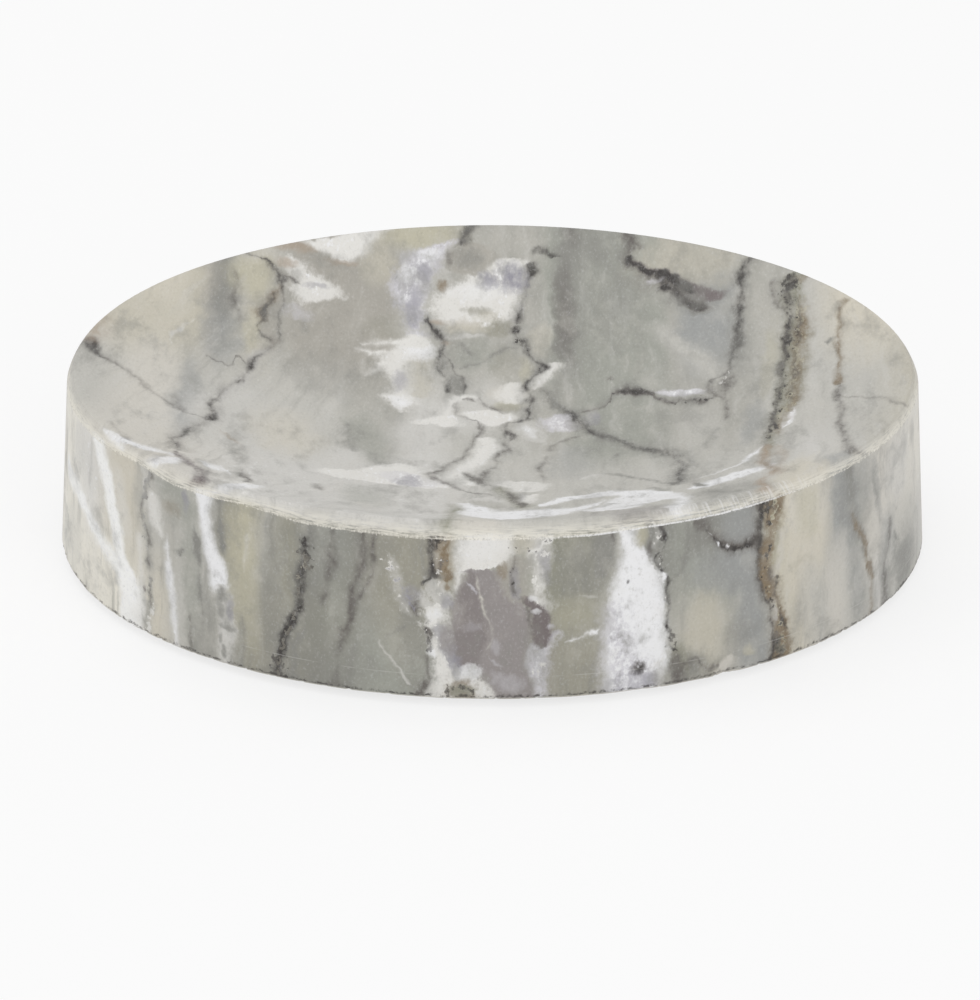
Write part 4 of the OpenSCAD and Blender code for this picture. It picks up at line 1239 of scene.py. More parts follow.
# Light and dark veins round the wall. The places are (round it, height, half the width).
wall = laid_over(wall, "wall_veins", vein, wall_x, wall_y, uneven, (
    (snow, 0.9, 0.35, 1.2, (
        (-84, 14.4, 0.5), (-78, 13.6, 0.9), (-72, 12, 1.0), (-66, 9.6, 0.9), (-61, 7.6, 0.8),
        (-58, 6, 0),
    )),
    (milk, 0.7, crisper(0.35), 0.8, (
        (-49.8, 16, 0), (-49.4, 14, 0.3), (-49, 11.5, 0.5), (-48.3, 8, 0.5), (-47.9, 5, 0.3),
        (-47.4, 1, 0.3), (-47.2, -1, 0.2),
    )),
    (bone, 0.4, crisper(0.25), 0.4, ((-34, 21, 0), (-34.6, 19, 0.1), (-35, 16, 0.1), (-35.2, 13, 0))),
    (fog, 0.45, 0.2, 2.4, (
        (-13.9, 21, 0), (-13.4, 19.4, 0.4), (-12.9, 17.4, 0.4), (-12.4, 15.6, 0.5), (-11.8, 14, 0.4),
        (-11, 12.4, 0.2), (-10.4, 11.4, 0),
    )),
    (fog, 0.6, crisper(0.12), 0.4, (
        (-15.3, 9.4, 0), (-15, 8, 0.08), (-14, 6.3, 0.12), (-12.6, 4.3, 0.1), (-11, 2, 0.12),
        (-10.2, 1, 0),
    )),
    (milk, 0.8, 0.1, 0.4, ((8.6, 8, 0), (10, 8.3, 0.05), (12, 8.8, 0.05), (14.4, 9.4, -0.02), (15, 9.6, 0))),
    (bone, 0.7, 0.15, 1.4, ((3.6, 19.8, 0), (5, 20.6, 0.2), (6.6, 21.6, 0.3), (8, 22.6, 0.3), (9, 23.6, 0))),
    (bone, 0.5, 0.2, 2.4, ((5.4, 20, 0), (6, 17.6, 0.4), (6, 15.4, 0.4), (6.4, 13.6, 0))),
    (fog, 0.4, crisper(0.12), 0.3, ((9.5, 14.4, 0), (12, 14.1, 0.06), (14, 13.9, 0.05), (15, 13.9, 0))),
    (shell, 0.65, 0.08, 0.4, (
        (-2.6, 19, 0), (-2.2, 17.4, -0.03), (-1.9, 15.4, -0.03), (-1.5, 14, 0.05), (-0.9, 12.6, -0.02),
        (-0.3, 11.2, -0.03), (0.1, 10, -0.05), (0, 8.6, -0.03), (-0.4, 7.2, 0.06), (-1, 6.2, 0),
        (-1.2, 5.4, 0),
    )),
    (lilac, 0.6, crisper(0.15), 0.5, ((-4.2, 16.8, 0), (-3.2, 16.2, 0.1), (-2.2, 15.2, 0.1), (-1.9, 15, 0))),
    (lilac, 0.5, crisper(0.15), 0.5, ((-0.2, 6.6, 0), (0.4, 5.8, 0.1), (1.4, 5.2, 0.1), (2.6, 5, 0))),
    # Speckled vein on the left
    (ash, 0.7, 0.35, 1.6, (
        (-54, 25, 0.4), (-53.8, 21.5, 0.5), (-54.8, 18.5, 0.6), (-54.2, 16, 0.3), (-53.6, 13.6, 0.5),
        (-53.1, 10, 0.6), (-52.9, 7, 0.5), (-52.7, 5, 0.5), (-52.8, 2.6, 0.4), (-53, -1, 0.4),
    )),
    (soot, 0.55, 0.2, 2.0, thinner(0.03, (
        (-53.6, 24.4, 0), (-53.3, 22.8, 0.3), (-54, 21.8, -0.1), (-53.9, 20.6, 0.1),
        (-54.2, 19.6, -0.1), (-54.8, 18.2, 0.35), (-55.2, 17, 0.2), (-54.4, 16.4, -0.2),
        (-53.8, 15, -0.1), (-53.3, 13.4, 0.25), (-53.6, 12, 0.1), (-53.2, 10, 0.05), (-53, 8, 0),
        (-52.9, 6.4, -0.1), (-52.7, 5, 0.15), (-52.6, 3, 0), (-52.8, 1, 0),
    ))),
    (plum, 0.8, crisper(0.25), 1.2, ((-54.8, 6.4, 0), (-54.3, 6.3, 0.3), (-53.8, 6.2, 0))),
    (smoke, 0.8, crisper(0.35), 1.4, (
        (-44.6, 19, 0), (-44, 17.4, 0.4), (-43.8, 15.8, 0.4), (-43.4, 13.6, 0.3), (-43.2, 11.8, 0.1),
        (-42.9, 10, 0.25), (-42.4, 8.4, 0.15), (-42.2, 6, 0.1), (-42, 3, 0),
    )),
    (soot, 0.5, crisper(0.25), 1.2, (
        (-45.2, 7.6, 0), (-44.6, 5.6, 0.1), (-44.1, 4, 0.25), (-44.2, 1.6, 0.2), (-44, -1, 0.1),
    )),
    (smoke, 0.7, crisper(0.2), 0.8, (
        (-49.2, 14.4, 0), (-47.6, 14.1, 0.2), (-46.4, 14.4, 0.15), (-45.4, 14.6, 0),
    )),
    (smoke, 0.9, crisper(0.4), 1.0, (
        (-39.6, 25, 0.1), (-39.4, 22, 0.1), (-39.2, 19.8, 0.3), (-39.2, 18.4, 0.4), (-38.9, 16.6, 0.2),
        (-38.6, 15, 0),
    )),
    (smoke, 0.8, crisper(0.4), 1.0, (
        (-34.9, 8, 0), (-35.3, 6.6, 0.2), (-35.6, 4.6, 0.1), (-35.5, 1, 0.15), (-35.4, -1, 0.1),
    )),
    # Pebbly dark vein
    (smoke, 0.9, 0.5, 1.6, (
        (-25, 23.6, 0.2), (-25.6, 21, 0.4), (-26.2, 17, 0.5), (-26.3, 13.6, 0.6), (-26.8, 10.6, 0.5),
        (-28.4, 7, 0.7), (-29.2, 3.6, 0.7), (-29.6, -1, 0.6),
    )),
    (ink, 0.9, 0.22, 1.8, (
        (-25.2, 22.4, 0), (-25.5, 21.2, 0.3), (-25.8, 19.8, 0.4), (-26.1, 18, 0.4), (-26.2, 16.6, 0.4),
        (-26.2, 15, 0.45), (-26.2, 13.6, 0.5), (-26.3, 12.2, 0.5), (-26.7, 10.8, 0.4), (-27.4, 9.6, 0.4),
        (-28, 8.2, 0.5), (-28.4, 6.8, 0.5), (-28.8, 5.4, 0.4), (-29.2, 3.6, 0.3), (-29.6, 2.6, 0.3),
        (-29.6, 1, 0.55), (-29.8, -1, 0.5),
    )),
    (smoke, 0.8, crisper(0.3), 1.0, (
        (-25.6, 9.4, 0), (-26, 7.6, 0.2), (-26.7, 5.6, 0.25), (-27.1, 3, 0.25), (-27.4, -1, 0.25),
    )),
    # Soft grey veins
    (soot, 0.75, 0.35, 1.0, (
        (-21.8, 24.6, 0), (-22, 20, 0.3), (-22.2, 17, 0.4),
        (-22.4, 15, 0.1), (-22.9, 13, 0.1), (-23, 11.6, 0),
    )),
    (soot, 0.8, 0.26, 1.2, thinner(0.05, (
        (-16.8, 24.6, 0.2), (-17.2, 21.6, 0.25), (-17.6, 19, 0.35), (-18, 17, 0.4),
        (-18.6, 15, 0.35), (-19, 13, 0.5), (-19.2, 11.6, 0.4), (-19.2, 10, 0.2), (-19.8, 8.6, 0.5),
        (-20.3, 7, 0.6), (-20.8, 5.6, 0.15), (-21.2, 3, 0), (-21.6, 1, 0),
    ))),
    (soot, 0.7, crisper(0.22), 0.8, (
        (-15.5, 24.4, 0.1), (-15.9, 22, 0.15), (-16.2, 20, 0.15), (-16.2, 17.6, 0.12), (-16.8, 15.4, 0.12),
        (-17.8, 13.2, 0.15), (-18.4, 11.6, 0),
    )),
    (smoke, 0.6, crisper(0.4), 0.8, ((-18.2, 9, 0), (-18.6, 6, 0.1), (-19.4, 2, 0.1), (-19.6, -1, 0.1))),
    (soot, 0.5, crisper(0.3), 0.8, ((-20.8, 5, 0), (-21.2, 2.4, 0.2), (-21.8, -1, 0.3))),
    (smoke, 0.6, crisper(0.25), 0.8, (
        (-14.9, 8.2, 0), (-14, 8.9, 0.15), (-12.6, 9.6, 0.15), (-11, 10.2, 0),
    )),
    # Black-brown vein left of the white cap, and the dark grains below it
    (soot, 0.8, 0.25, 1.0, ((-7.8, 25, 0.3), (-7.6, 22, 0.4), (-7.5, 19, 0.4), (-7.7, 17.4, 0.2))),
    (ink, 1.0, 0.15, 1.2, (
        (-8, 25, 0.25), (-7.8, 23.4, 0.4), (-7.7, 21.6, 0.3), (-7.6, 20, 0.3), (-7.5, 18.6, 0.4),
        (-7.7, 17.6, 0.35), (-8.4, 17, 0.2), (-8.9, 16.6, 0.3), (-8.8, 15.8, 0),
    )),
    (umber, 0.3, 0.4, 0.8, ((-5.6, 24, 0), (-5.8, 20, 0.2), (-6, 16, 0))),
    (umber, 0.95, 0.12, 2.4, (
        (-5.6, 23.4, 0), (-5.9, 21.6, 0.15), (-5.6, 19.4, 0.1), (-5.9, 17, 0.2), (-6, 15.4, 0),
    )),
    (soot, 0.8, 0.12, 2.4, ((-6.4, 24, 0.1), (-6.5, 22, 0), (-6.3, 20, 0.1), (-6.6, 18.4, 0))),
    (soot, 0.85, crisper(0.3), 2.0, (
        (-9.2, 14.6, 0), (-10, 13.2, 0.2), (-9.8, 12.2, 0.1), (-9.4, 11, 0), (-8.6, 9.8, 0.2),
        (-8.4, 8.8, 0.1), (-8.6, 7.4, 0), (-9, 5.6, 0.1), (-8.9, 3.4, 0.1), (-9, 2, 0.15),
        (-9.3, 0.6, 0.15), (-9.6, -1, 0.1),
    )),
    (soot, 0.6, crisper(0.25), 1.4, (
        (3.2, 20.4, 0), (2.8, 18.6, 0.15), (2.7, 17, 0.2), (3, 15.4, 0.1), (3.8, 14.2, 0.2), (4.4, 13, 0.3),
        (5, 11, 0.1), (5.4, 9.4, 0),
    )),
    (ink, 0.7, crisper(0.2), 1.2, (
        (3.6, 0.8, 0), (3.2, 0.5, 0.15), (2.6, 0.6, 0.05), (1.2, 0.4, 0.1), (0.4, 0.5, 0),
    )),
    (soot, 0.8, crisper(0.25), 0.8, (
        (15.3, 24.6, 0.1), (15.8, 23, 0.2), (16.1, 21.6, 0.15), (16.3, 20.4, 0),
    )),
    # Dark vein right of the white patch
    (smoke, 0.7, crisper(0.4), 2.4, ((22.9, 25, 0.4), (23.2, 22, 0.5), (22.8, 19.6, 0.5), (22.6, 17.8, 0))),
    (ink, 0.85, crisper(0.2), 1.6, (
        (22.5, 24.8, 0.1), (23.2, 23.4, 0.2), (23.7, 22, 0.15), (23.7, 20, 0.05), (22.4, 19, 0.1),
        (22.3, 18.4, 0.2), (23.1, 17.4, 0.2), (23.6, 16.6, 0.05), (24.4, 15.6, 0.25), (24.1, 14.4, 0.1),
        (24, 13, 0.25), (24.2, 11, 0.1), (23.9, 9, 0.05), (24.2, 7, 0.15), (24.4, 5.2, 0.15),
        (25, 4.6, 0.3), (25.8, 4.2, 0),
    )),
    (fog, 0.4, crisper(0.25), 2.0, ((22.6, 24.4, 0), (22.9, 22.4, 0.15), (22.6, 20.6, 0.1), (22.9, 19, 0))),
    (milk, 0.9, crisper(0.2), 1.0, ((23.4, 17.2, 0), (23.7, 16.4, 0.25), (23.6, 15.4, 0.1), (23.5, 15, 0))),
    (smoke, 0.85, crisper(0.3), 0.8, (
        (27.2, 23.4, 0), (27.3, 21, 0.12), (27.3, 19.4, 0.15), (26.9, 17.8, 0.15), (26.2, 16.4, 0.12),
        (25.2, 15.6, 0.1), (24.6, 15.4, 0),
    )),
    (soot, 1.0, 0.35, 1.2, (
        (28.2, 22.6, 0.3), (29.4, 21.8, 0.5), (30.6, 20.6, 0.6), (32, 19.4, 0.6), (33.4, 18.6, 0.6),
        (35, 18, 0.5), (36.8, 18.1, 0.3), (38.4, 18.3, 0.3),
    )),
    (ink, 0.85, crisper(0.2), 2.4, (
        (29.4, 21.7, 0), (30.2, 20.6, 0.3), (31, 20, 0.1), (32, 19.2, 0.3), (33.2, 18.5, 0.25),
        (34.4, 17.9, 0.3), (35.6, 17.8, 0.1), (36.8, 18.1, 0.1), (38.4, 18.3, 0.1),
    )),
    (milk, 0.9, crisper(0.15), 1.4, ((30, 20.8, 0), (30.6, 20.5, 0.15), (31.2, 19.6, 0))),
    (milk, 0.9, crisper(0.15), 1.4, (
        (31.5, 19.2, 0), (32, 19, 0.2), (32.6, 18.8, 0), (33.4, 18.6, 0.15), (34, 18.4, 0),
    )),
    (soot, 0.7, crisper(0.3), 1.4, (
        (25.4, 3.4, 0), (26.4, 3, 0.15), (27.6, 3.2, 0.15), (28.2, 3.2, 0.25), (28.8, 2.4, 0.1),
        (30, 2, 0.15), (31, 1.9, 0.2), (31.8, 1.4, 0.15), (32.2, 1, 0),
    )),
    (smoke, 0.6, crisper(0.2), 0.8, ((26.4, 3, 0), (26.2, 1.6, 0.1), (26.6, 0, 0))),
    (soot, 0.7, crisper(0.3), 1.2, ((24.6, 2.6, 0), (25, 1, 0.2), (25, -1, 0.3))),
    (bone, 0.5, crisper(0.3), 1.2, ((20.6, 2.4, 0), (22, 3.2, 0.25), (23.4, 4, 0.3), (24.2, 4.4, 0))),
    # Brown vein on the right: black left edge, brown strands
    (soot, 0.75, crisper(0.6), 1.2, (
        (38.3, 25, 0.4), (38.5, 21, 0.3), (38.4, 18.4, 0.6), (38.6, 16, 0.5), (38.6, 13, 0.4),
        (39.2, 10.6, 0.3), (39.8, 8.6, 0.2), (40.1, 6, 0.1), (40.3, 3, 0.1), (40.4, -1, 0.2),
    )),
    (ink, 0.75, crisper(0.3), 1.8, thinner(0.1, (
        (38.7, 25, 0.35), (38.9, 22, 0.4), (38.6, 19, 0.3), (38.6, 16.4, 0.3), (38.9, 14, 0.3),
        (39.1, 12, 0.25), (39.6, 10, 0.2), (40.1, 8, 0.15), (40.2, 6, 0.1), (40.4, 4, 0.15),
        (40.5, -1, 0.15),
    ))),
    (soot, 0.8, 0.2, 2.0, (
        (40.6, 14.6, 0), (40.4, 13, 0.6), (40.6, 11.6, 0.6), (41, 10, 0.3), (41.2, 8.6, 0),
    )),
    (umber, 0.9, crisper(0.3), 2.0, (
        (39.4, 18.6, 0), (39.8, 17, 0.7), (39.4, 15, 0.6), (39.7, 13, 0.6), (40.3, 11.6, 0.8),
        (40.8, 10, 0.7), (41.2, 9, 0.6), (41.8, 7.6, 0.4), (42.2, 6, 0.5), (42.4, 4.6, 0.7),
        (42.2, 3, 0.7), (42, -1, 0.8),
    )),
    (ink, 0.7, crisper(0.22), 2.0, (
        (41.6, 13, 0), (41.9, 12.2, 0.3), (41.4, 10.8, 0.1), (41.2, 9.4, 0.3), (41.6, 8.2, 0.1),
        (42, 6.4, 0.1), (42.5, 4.8, 0.3), (43.2, 3.8, 0.1), (43.6, 3.2, 0),
    )),
    (umber, 0.8, crisper(0.25), 2.4, (
        (42.2, 24.6, 0.4), (41.8, 22.6, 0.6), (41.4, 21, 0.7), (41, 19.6, 0.6), (40.6, 18, 0.4),
        (40.4, 16, 0.2), (40.3, 14, 0),
    )),
    (ink, 0.7, crisper(0.25), 2.6, ((41.2, 24.6, 0), (41, 23, 0.4), (41.6, 21.6, 0.1), (42.1, 20.4, 0))),
    (soot, 0.7, crisper(0.3), 2.6, ((41.4, 4.4, 0), (41.2, 2.8, 0.4), (41.8, 1, 0.3), (42.2, -1, 0.3))),
    (sand, 0.6, crisper(0.3), 1.4, (
        (43.2, 14, 0), (44, 12.6, 0.3), (46, 13.2, 0.3), (48, 12.8, 0.2), (49.6, 11.8, 0),
    )),
    # Veins near the right edge
    (smoke, 0.9, 0.4, 1.2, (
        (56.6, 24, 0.5), (57, 20, 0.4), (57.3, 17, 0.2),
        (58.4, 14.6, 0.3), (59.8, 12.4, 0.3), (60.3, 10, 0.2),
        (60.8, 8.4, 0),
    )),
    (umber, 0.65, 0.2, 2.0, (
        (57, 18, 0), (58.2, 15.2, 0.15), (59.2, 13.6, 0.3), (60.2, 12.4, 0.35), (60.9, 11.2, 0.5),
        (60.8, 9.8, 0.3), (61.2, 8.6, 0.25), (62, 7, 0.55), (62.1, 5.4, 0.35), (61.8, 3.6, 0.3),
        (61.5, 1.8, 0.5), (61, 0.8, 0.1),
    )),
    (soot, 0.7, crisper(0.5), 1.0, (
        (68.8, 12.6, 0), (68.4, 11.4, 0.5), (67.8, 9, 0.1), (66.6, 6.6, 0.1), (66.2, 4, 0.3),
        (65.8, -1, 0.3),
    )),
    (smoke, 0.6, crisper(0.4), 1.0, ((64, 22, 0), (63.8, 19, 0.2), (64.6, 15, 0.1), (64.8, 11, 0))),
    (smoke, 0.7, crisper(0.5), 1.0, ((70.2, 9.4, 0), (71, 8.2, 0.4), (72, 7.6, 0))),
))

# Grains in its granular veins and patches
wall = laid_over(wall, "wall_flecks", vein, wall_x, wall_y, torn, (
    (straw, 0.6, 0.08, 7.0, (
        (41.4, 25, -0.4), (41, 19, -0.4), (40.2, 13, -0.4), (41.4, 7, -0.4), (42, -1, -0.4),
    )),
    (ink, 0.6, 0.08, 7.0, (
        (40.2, 25, -0.3), (40, 19, -0.3), (39.8, 13, -0.4), (41, 7, -0.5), (42, -1, -0.4),
    )),
    (sand, 0.6, 0.08, 7.0, (
        (-26, 20, -0.5), (-26.4, 13, -0.4), (-28.2, 7, -0.2), (-29.6, 1, -0.2), (-29.8, -1, -0.3),
    )),
    (ink, 0.5, 0.08, 7.0, ((-25.6, 22, -0.6), (-26.4, 13, -0.4), (-28.2, 7, -0.2), (-29.8, -1, -0.2))),
    (bone, 0.6, 0.08, 7.0, (
        (-53.8, 24, -0.3), (-54.6, 18, -0.4), (-53.4, 11, -0.4), (-52.4, 5, -0.4), (-52.8, -1, -0.4),
    )),
    (ink, 0.35, 0.08, 7.0, ((-53.6, 24, -0.4), (-54.6, 18, -0.3), (-53.4, 11, -0.5), (-52.4, 5, -0.7))),
    (ink, 0.5, 0.08, 7.0, (
        (23.2, 24.6, -0.4), (23.2, 20, -0.3), (23.6, 16, -0.5), (24.2, 10, -0.8), (24.8, 4, -0.5),
    )),
    (bone, 0.6, 0.08, 7.0, ((22.8, 24.6, -0.7), (22.9, 20, -0.6), (23.4, 16, -0.6), (23.8, 12, -1.0))),
    (ink, 0.5, 0.08, 7.0, (
        (-7.2, 24, -0.6), (-6.2, 20.6, -0.4), (-6.4, 16.4, -0.5), (-8.6, 12, -0.7), (-8.4, 6, -0.6),
    )),
    (bone, 0.6, 0.08, 7.0, (
        (-6.6, 22, -0.8), (-7, 17, -0.4), (-8, 12, -0.2), (-7.6, 7, -0.2), (-6, 2, -0.4),
    )),
    (bone, 0.6, 0.08, 7.0, (
        (7.8, 23.4, -0.4), (5.8, 19, -0.2), (5.9, 14.4, -0.5), (6.4, 12, -1.2), (6.6, 8, -0.9),
        (6.4, 3, -0.4),
    )),
    (ink, 0.5, 0.08, 7.0, ((8, 22.8, -0.6), (6.4, 21, -0.5), (4.2, 20.4, -0.7))),
    (ink, 0.6, 0.08, 7.0, ((3.6, 23, -0.6), (2.8, 19.6, -0.6), (3, 16, -0.8))),
    (ink, 0.5, 0.08, 7.0, ((-6.4, 0.8, -0.3), (-4, 2, -0.2), (-2, 0.8, -0.4))),
    (bone, 0.6, 0.08, 7.0, ((-14.2, 20.6, -0.6), (-13, 17, -0.2), (-11.8, 14, -0.3), (-10.8, 12, -0.5))),
    (heather, 0.5, 0.08, 7.0, ((-13.6, 19, -0.7), (-12.4, 16, -0.3), (-10.8, 14, -0.1), (-10, 12.4, -0.6))),
))

# Bowl and wall together. The wall's own pattern ends at the sides and on the underside,
# where the sheets of the bowl go on.
in_wall = bevel_way.rise(0.5, 0.1) * around.math("ABSOLUTE").rise(96, 84) * radius.rise(44, 56)
colour = bowl.cover(wall, in_wall)

# Grain: cloudy quartz in the white parts, and smoke and fine grains everywhere
levels = colour.node("ShaderNodeSeparateColor", {}, {0: colour}).socket.node.outputs
red, blue = (Shade(marble_tree, levels[part]) for part in ("Red", "Blue"))
white = blue.rise(0.5, 0.64)
mottled = flame * 1.6 + torn * 3.0 + sugar * 1.2
cold = blue - red
colour = colour.cover(heather, white * (mottled + cold * 60.0 - 0.9).rise(0.4, 1.5, 0.9))
colour = colour.cover(ash, white * (mottled + cold * 6.0).rise(0.2, 0.9, 0.4))
colour = colour.cover(milk, white * (mottled - cold * 6.0).rise(0.1, -0.6, 0.9))
haze = clouds(0.12, 3.0, 0.6)
colour = colour.cover(smoke, (flame + haze).rise(0.5, 0.8, 0.45))
colour = colour.cover(shell, (flame + haze).rise(0.5, 0.2, 0.2))
grain = clouds(3.0, 2.0, 0.6)
colour = colour.cover(soot, grain.rise(0.52, 0.8, 0.14))
colour = colour.cover(milk, grain.rise(0.48, 0.2, 0.14))

# Rim bevel, ground by hand: paler, with bright chips that crowd towards its broken lower edge,
# and combed strokes across it at the front right
chips = clouds(3.4, 3.0, 0.75) * 3.0 - 1.5
above = bevel_way.rise(-0.08, 0.06)
brushed_place = around.node(
    "ShaderNodeCombineXYZ", {}, {"X": around * 0.16, "Y": bevel_way * 3.6, "Z": 0.0}
)
brushed = clouds(2.2, 3.0, 0.7, brushed_place)
colour = colour.cover(mist, above * bevel_way.rise(1.0, 0.25) * brushed.rise(0.32, 0.58, 0.7))
colour = colour.cover(chalk, (chips - bevel_way.math("ABSOLUTE") * 1.6).rise(-0.1, 0.5, 0.75))
colour = colour.cover(soot, above * (chips * -1.0 - bevel_way).rise(-0.1, 0.5, 0.35))
stroke_place = around.node(
    "ShaderNodeCombineXYZ", {}, {"X": around + bevel_way * 0.5, "Y": bevel_way * 0.2, "Z": 0.0}
)
strokes = clouds(3.0, 2.0, 0.6, stroke_place)
combed = around.rise(18, 28) * around.rise(52, 42) * above * bevel_way.rise(1.3, 0.8)
colour = colour.cover(milk, combed * strokes.rise(0.45, 0.7, 0.4))
lip = bevel_way.rise(-0.1, -0.02) * bevel_way.rise(0.12, 0.04) * chips.rise(-0.6, 0.1, 0.8)
colour = colour.cover(milk, lip * around.rise(4, 16) * around.rise(50, 36))

# Foot: a broken dark line low on the wall, above a pale lower edge, which is painted light bounced up from
# the white floor
low_dark_line = (height + torn * 0.4).rise(0.3, 0.4) * (height + torn * 1.2).rise(0.8, 0.5)
low_dark_line = low_dark_line * clouds(0.9, 4.0, 0.75).rise(0.42, 0.58, 0.8)
on_wall = radius.rise(59.5, 60.5)
colour = colour.cover(ink, low_dark_line * on_wall)
scratch = (height + around * 0.006 - 3.3).math("ABSOLUTE").rise(0.1, 0.03)
colour = colour.cover(fog, scratch * in_wall * (flame + 0.5).rise(0.4, 0.6, 0.3))
# Painted light: the foot's lower edge is made paler, as if lit from the white floor below
colour = colour.cover(shell, height.rise(0.4, 0.2) * on_wall * 0.7)

marble_out = marble_tree.nodes["Principled BSDF"]
marble_tree.links.new(colour.socket, marble_out.inputs["Base Color"])
gloss = (chips.math("ABSOLUTE") + 1.0) * above.math("MULTIPLY_ADD", 0.12, 0.36)
marble_tree.links.new(gloss.socket, marble_out.inputs["Roughness"])
ring_place = radius.node(
    "ShaderNodeCombineXYZ", {}, {"X": radius * 1.6, "Y": height * 1.6, "Z": around * 0.01}
)
rings = clouds(1.0, 2.0, 0.6, ring_place)
relief = rings * 0.35 + chips * (above * bevel_way.rise(1.8, 0.6)) * 0.5
relief = relief - torn.rise(0.2, 0.34, 0.8)
marble_bump = relief.node(
    "ShaderNodeBump", {}, {"Height": relief, "Strength": 0.6, "Distance": 0.05 * MM}
)
marble_tree.links.new(marble_bump.socket, marble_out.inputs["Normal"])

stone = turned_stone("marble_dish")
stone.data.materials.append(marble)
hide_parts("stone_dish")
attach(stone, "root")

# Adhesive discs. Each pad sticks to the flat base by a thin disc of milky acrylic adhesive,
# with tiny bubbles where it hasn't quite wetted the stone.
adhesive_film = bpy.data.materials.new("milky_adhesive")
adhesive_film.use_nodes = True
film_tree = adhesive_film.node_tree
film_start = Shade(film_tree)
film_place = film_start.node("ShaderNodeTexCoord", {}, {}, "Object")
film_haze = film_place.node(
    "ShaderNodeTexNoise", {}, {"Vector": film_place, "Scale": 600.0, "Detail": 3.0}
)
bubbles = film_place.node("ShaderNodeTexVoronoi", {}, {"Vector": film_place, "Scale": 1400.0})
film_colour = film_start.node(
    "ShaderNodeMix",
    {"data_type": "RGBA"},
    {0: film_haze, 6: tone(228, 224, 210), 7: tone(214, 208, 190)},
    2,
)
film_colour = film_colour.cover(tone(243, 242, 238), bubbles.rise(0.28, 0.16, 0.7))
film_out = film_tree.nodes["Principled BSDF"]
film_tree.links.new(film_colour.socket, film_out.inputs["Base Color"])
film_roughness = film_haze.rise(0.3, 0.7, 0.2) + 0.3
film_tree.links.new(film_roughness.socket, film_out.inputs["Roughness"])
film_bump = bubbles.node(
    "ShaderNodeBump", {}, {"Height": bubbles.rise(0.1, 0.35), "Strength": 0.3, "Distance": 0.05 * MM}
)
film_tree.links.new(film_bump.socket, film_out.inputs["Normal"])
for corner in ("back_right", "back_left", "front_left", "front_right"):
    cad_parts["adhesive_" + corner].material_slots[0].material = adhesive_film

# Pads. Four soft rubber pads, moulded with a fine matt grain and dulled by dust where they
# stand, are stuck under the flat base so that the stone neither slides nor scratches.
pad_rubber = bpy.data.materials.new("matt_rubber")
pad_rubber.use_nodes = True
rubber_tree = pad_rubber.node_tree
rubber_start = Shade(rubber_tree)
rubber_place = rubber_start.node("ShaderNodeTexCoord", {}, {}, "Object")
moulded = rubber_place.node(
    "ShaderNodeTexVoronoi", {}, {"Vector": rubber_place, "Scale": 5200.0, "Randomness": 0.8}
)
dust = rubber_place.node(
    "ShaderNodeTexNoise", {}, {"Vector": rubber_place, "Scale": 420.0, "Detail": 5.0, "Roughness": 0.7}
)
rubber_colour = rubber_start.node(
    "ShaderNodeMix",
    {"data_type": "RGBA"},
    {0: dust.rise(0.35, 0.65), 6: tone(52, 52, 54), 7: tone(72, 71, 70)},
    2,
)
rubber_colour = rubber_colour.cover(tone(142, 138, 130), dust.rise(0.6, 0.78, 0.5))
rubber_out = rubber_tree.nodes["Principled BSDF"]
rubber_tree.links.new(rubber_colour.socket, rubber_out.inputs["Base Color"])
rubber_roughness = dust.rise(0.3, 0.7, 0.2) + 0.65
rubber_tree.links.new(rubber_roughness.socket, rubber_out.inputs["Roughness"])
rubber_bump = moulded.node(
    "ShaderNodeBump", {}, {"Height": moulded, "Strength": 0.4, "Distance": 0.04 * MM}
)
rubber_tree.links.new(rubber_bump.socket, rubber_out.inputs["Normal"])
for corner in ("back_right", "back_left", "front_left", "front_right"):
    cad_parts["pad_" + corner].material_slots[0].material = pad_rubber

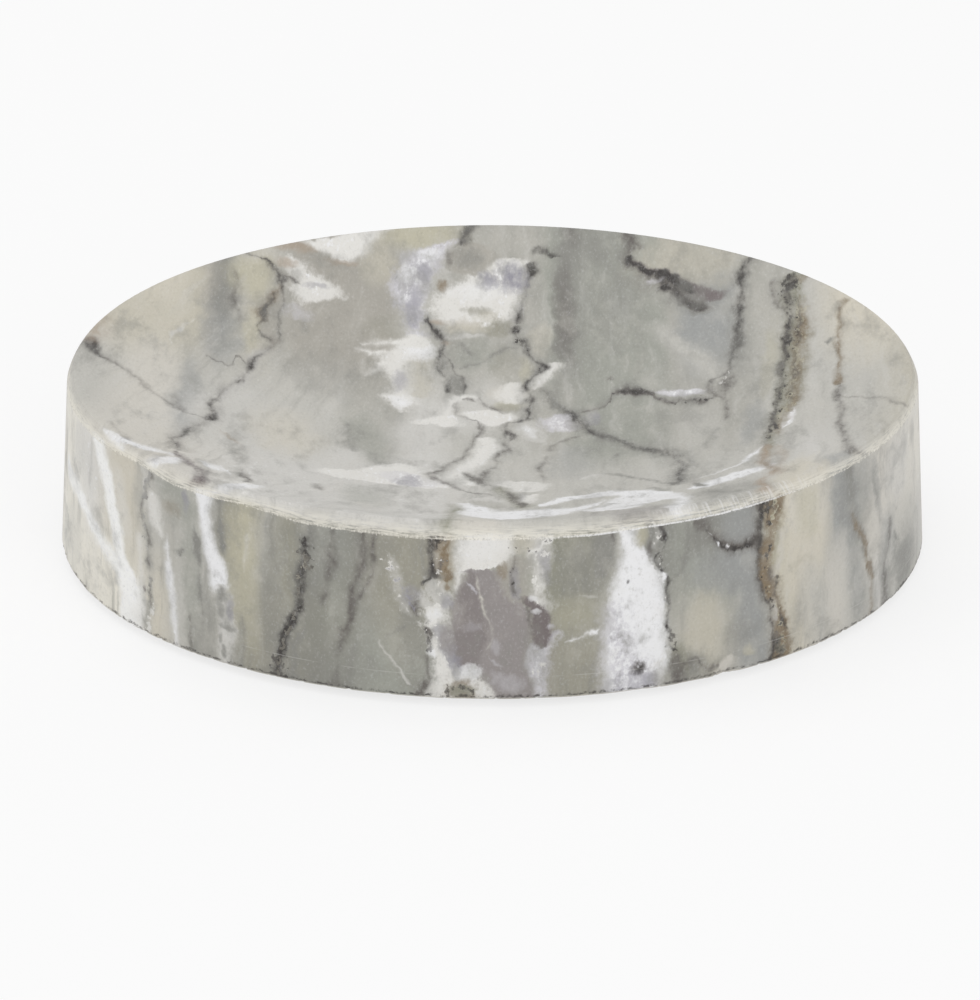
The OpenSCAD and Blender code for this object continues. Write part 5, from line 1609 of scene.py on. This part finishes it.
# Floor and light. A plain white floor under even studio light, as round the dish in the photograph.
# To the camera and in reflections the floor glows a little, so that it is white without more light,
# and it keeps the shadow of the dish. It lies a hair below the pads, so that no two faces coincide.
floor_mesh = bpy.data.meshes.new("floor")
floor_size = 6.0
floor_level = -0.03 * MM
square = ((-1, -1), (1, -1), (1, 1), (-1, 1))
corners = [(x * floor_size, y * floor_size, floor_level) for x, y in square]
floor_mesh.from_pydata(corners, [], [(0, 1, 2, 3)])
floor = bpy.data.objects.new("floor", floor_mesh)
bpy.context.scene.collection.objects.link(floor)
floor_paint = bpy.data.materials.new("floor_paint")
floor_paint.use_nodes = True
floor_tree = floor_paint.node_tree
floor_tree.nodes.remove(floor_tree.nodes["Principled BSDF"])
begin = Shade(floor_tree)
floor_white = (0.86, 0.86, 0.86, 1)
floor_glow = 0.75
matt = begin.node("ShaderNodeBsdfDiffuse", {}, {"Color": floor_white})
glow = begin.node("ShaderNodeEmission", {}, {"Strength": 1.0})
rays = begin.node("ShaderNodeLightPath", {}, {}).socket.node.outputs
seen = Shade(floor_tree, rays["Is Camera Ray"]) + Shade(floor_tree, rays["Is Glossy Ray"])
seen = (seen + Shade(floor_tree, rays["Is Transmission Ray"])).math("MINIMUM", 1.0)
mixed = begin.node("ShaderNodeMixShader", {}, {0: seen * floor_glow, 1: matt, 2: glow})
floor_tree.links.new(mixed.socket, floor_tree.nodes["Material Output"].inputs["Surface"])
floor_mesh.materials.append(floor_paint)

studio_light = 0.66
world = bpy.data.worlds.new("studio")
bpy.context.scene.world = world
world.use_nodes = True
world.node_tree.nodes["Background"].inputs["Color"].default_value = (1, 1, 1, 1)
world.node_tree.nodes["Background"].inputs["Strength"].default_value = studio_light


def softbox(name, place, target, size, power):
    """A square lamp of this size at a place, turned to a target; power is in watts."""
    data = bpy.data.lights.new(name, "AREA")
    data.size = size
    data.energy = power
    lamp = bpy.data.objects.new(name, data)
    lamp.location = place
    lamp.rotation_mode = "QUATERNION"
    lamp.rotation_quaternion = (Vector(target) - Vector(place)).to_track_quat("-Z", "Y")
    bpy.context.scene.collection.objects.link(lamp)


softbox("top_light", (-0.25, 0.2, 1.2), (0, 0, 0), 1.2, 4.6)
softbox("front_light", (0.2, -1.4, 0.8), (0, 0, 0), 1.2, 6.4)

bpy.context.scene.view_settings.view_transform = "Standard"
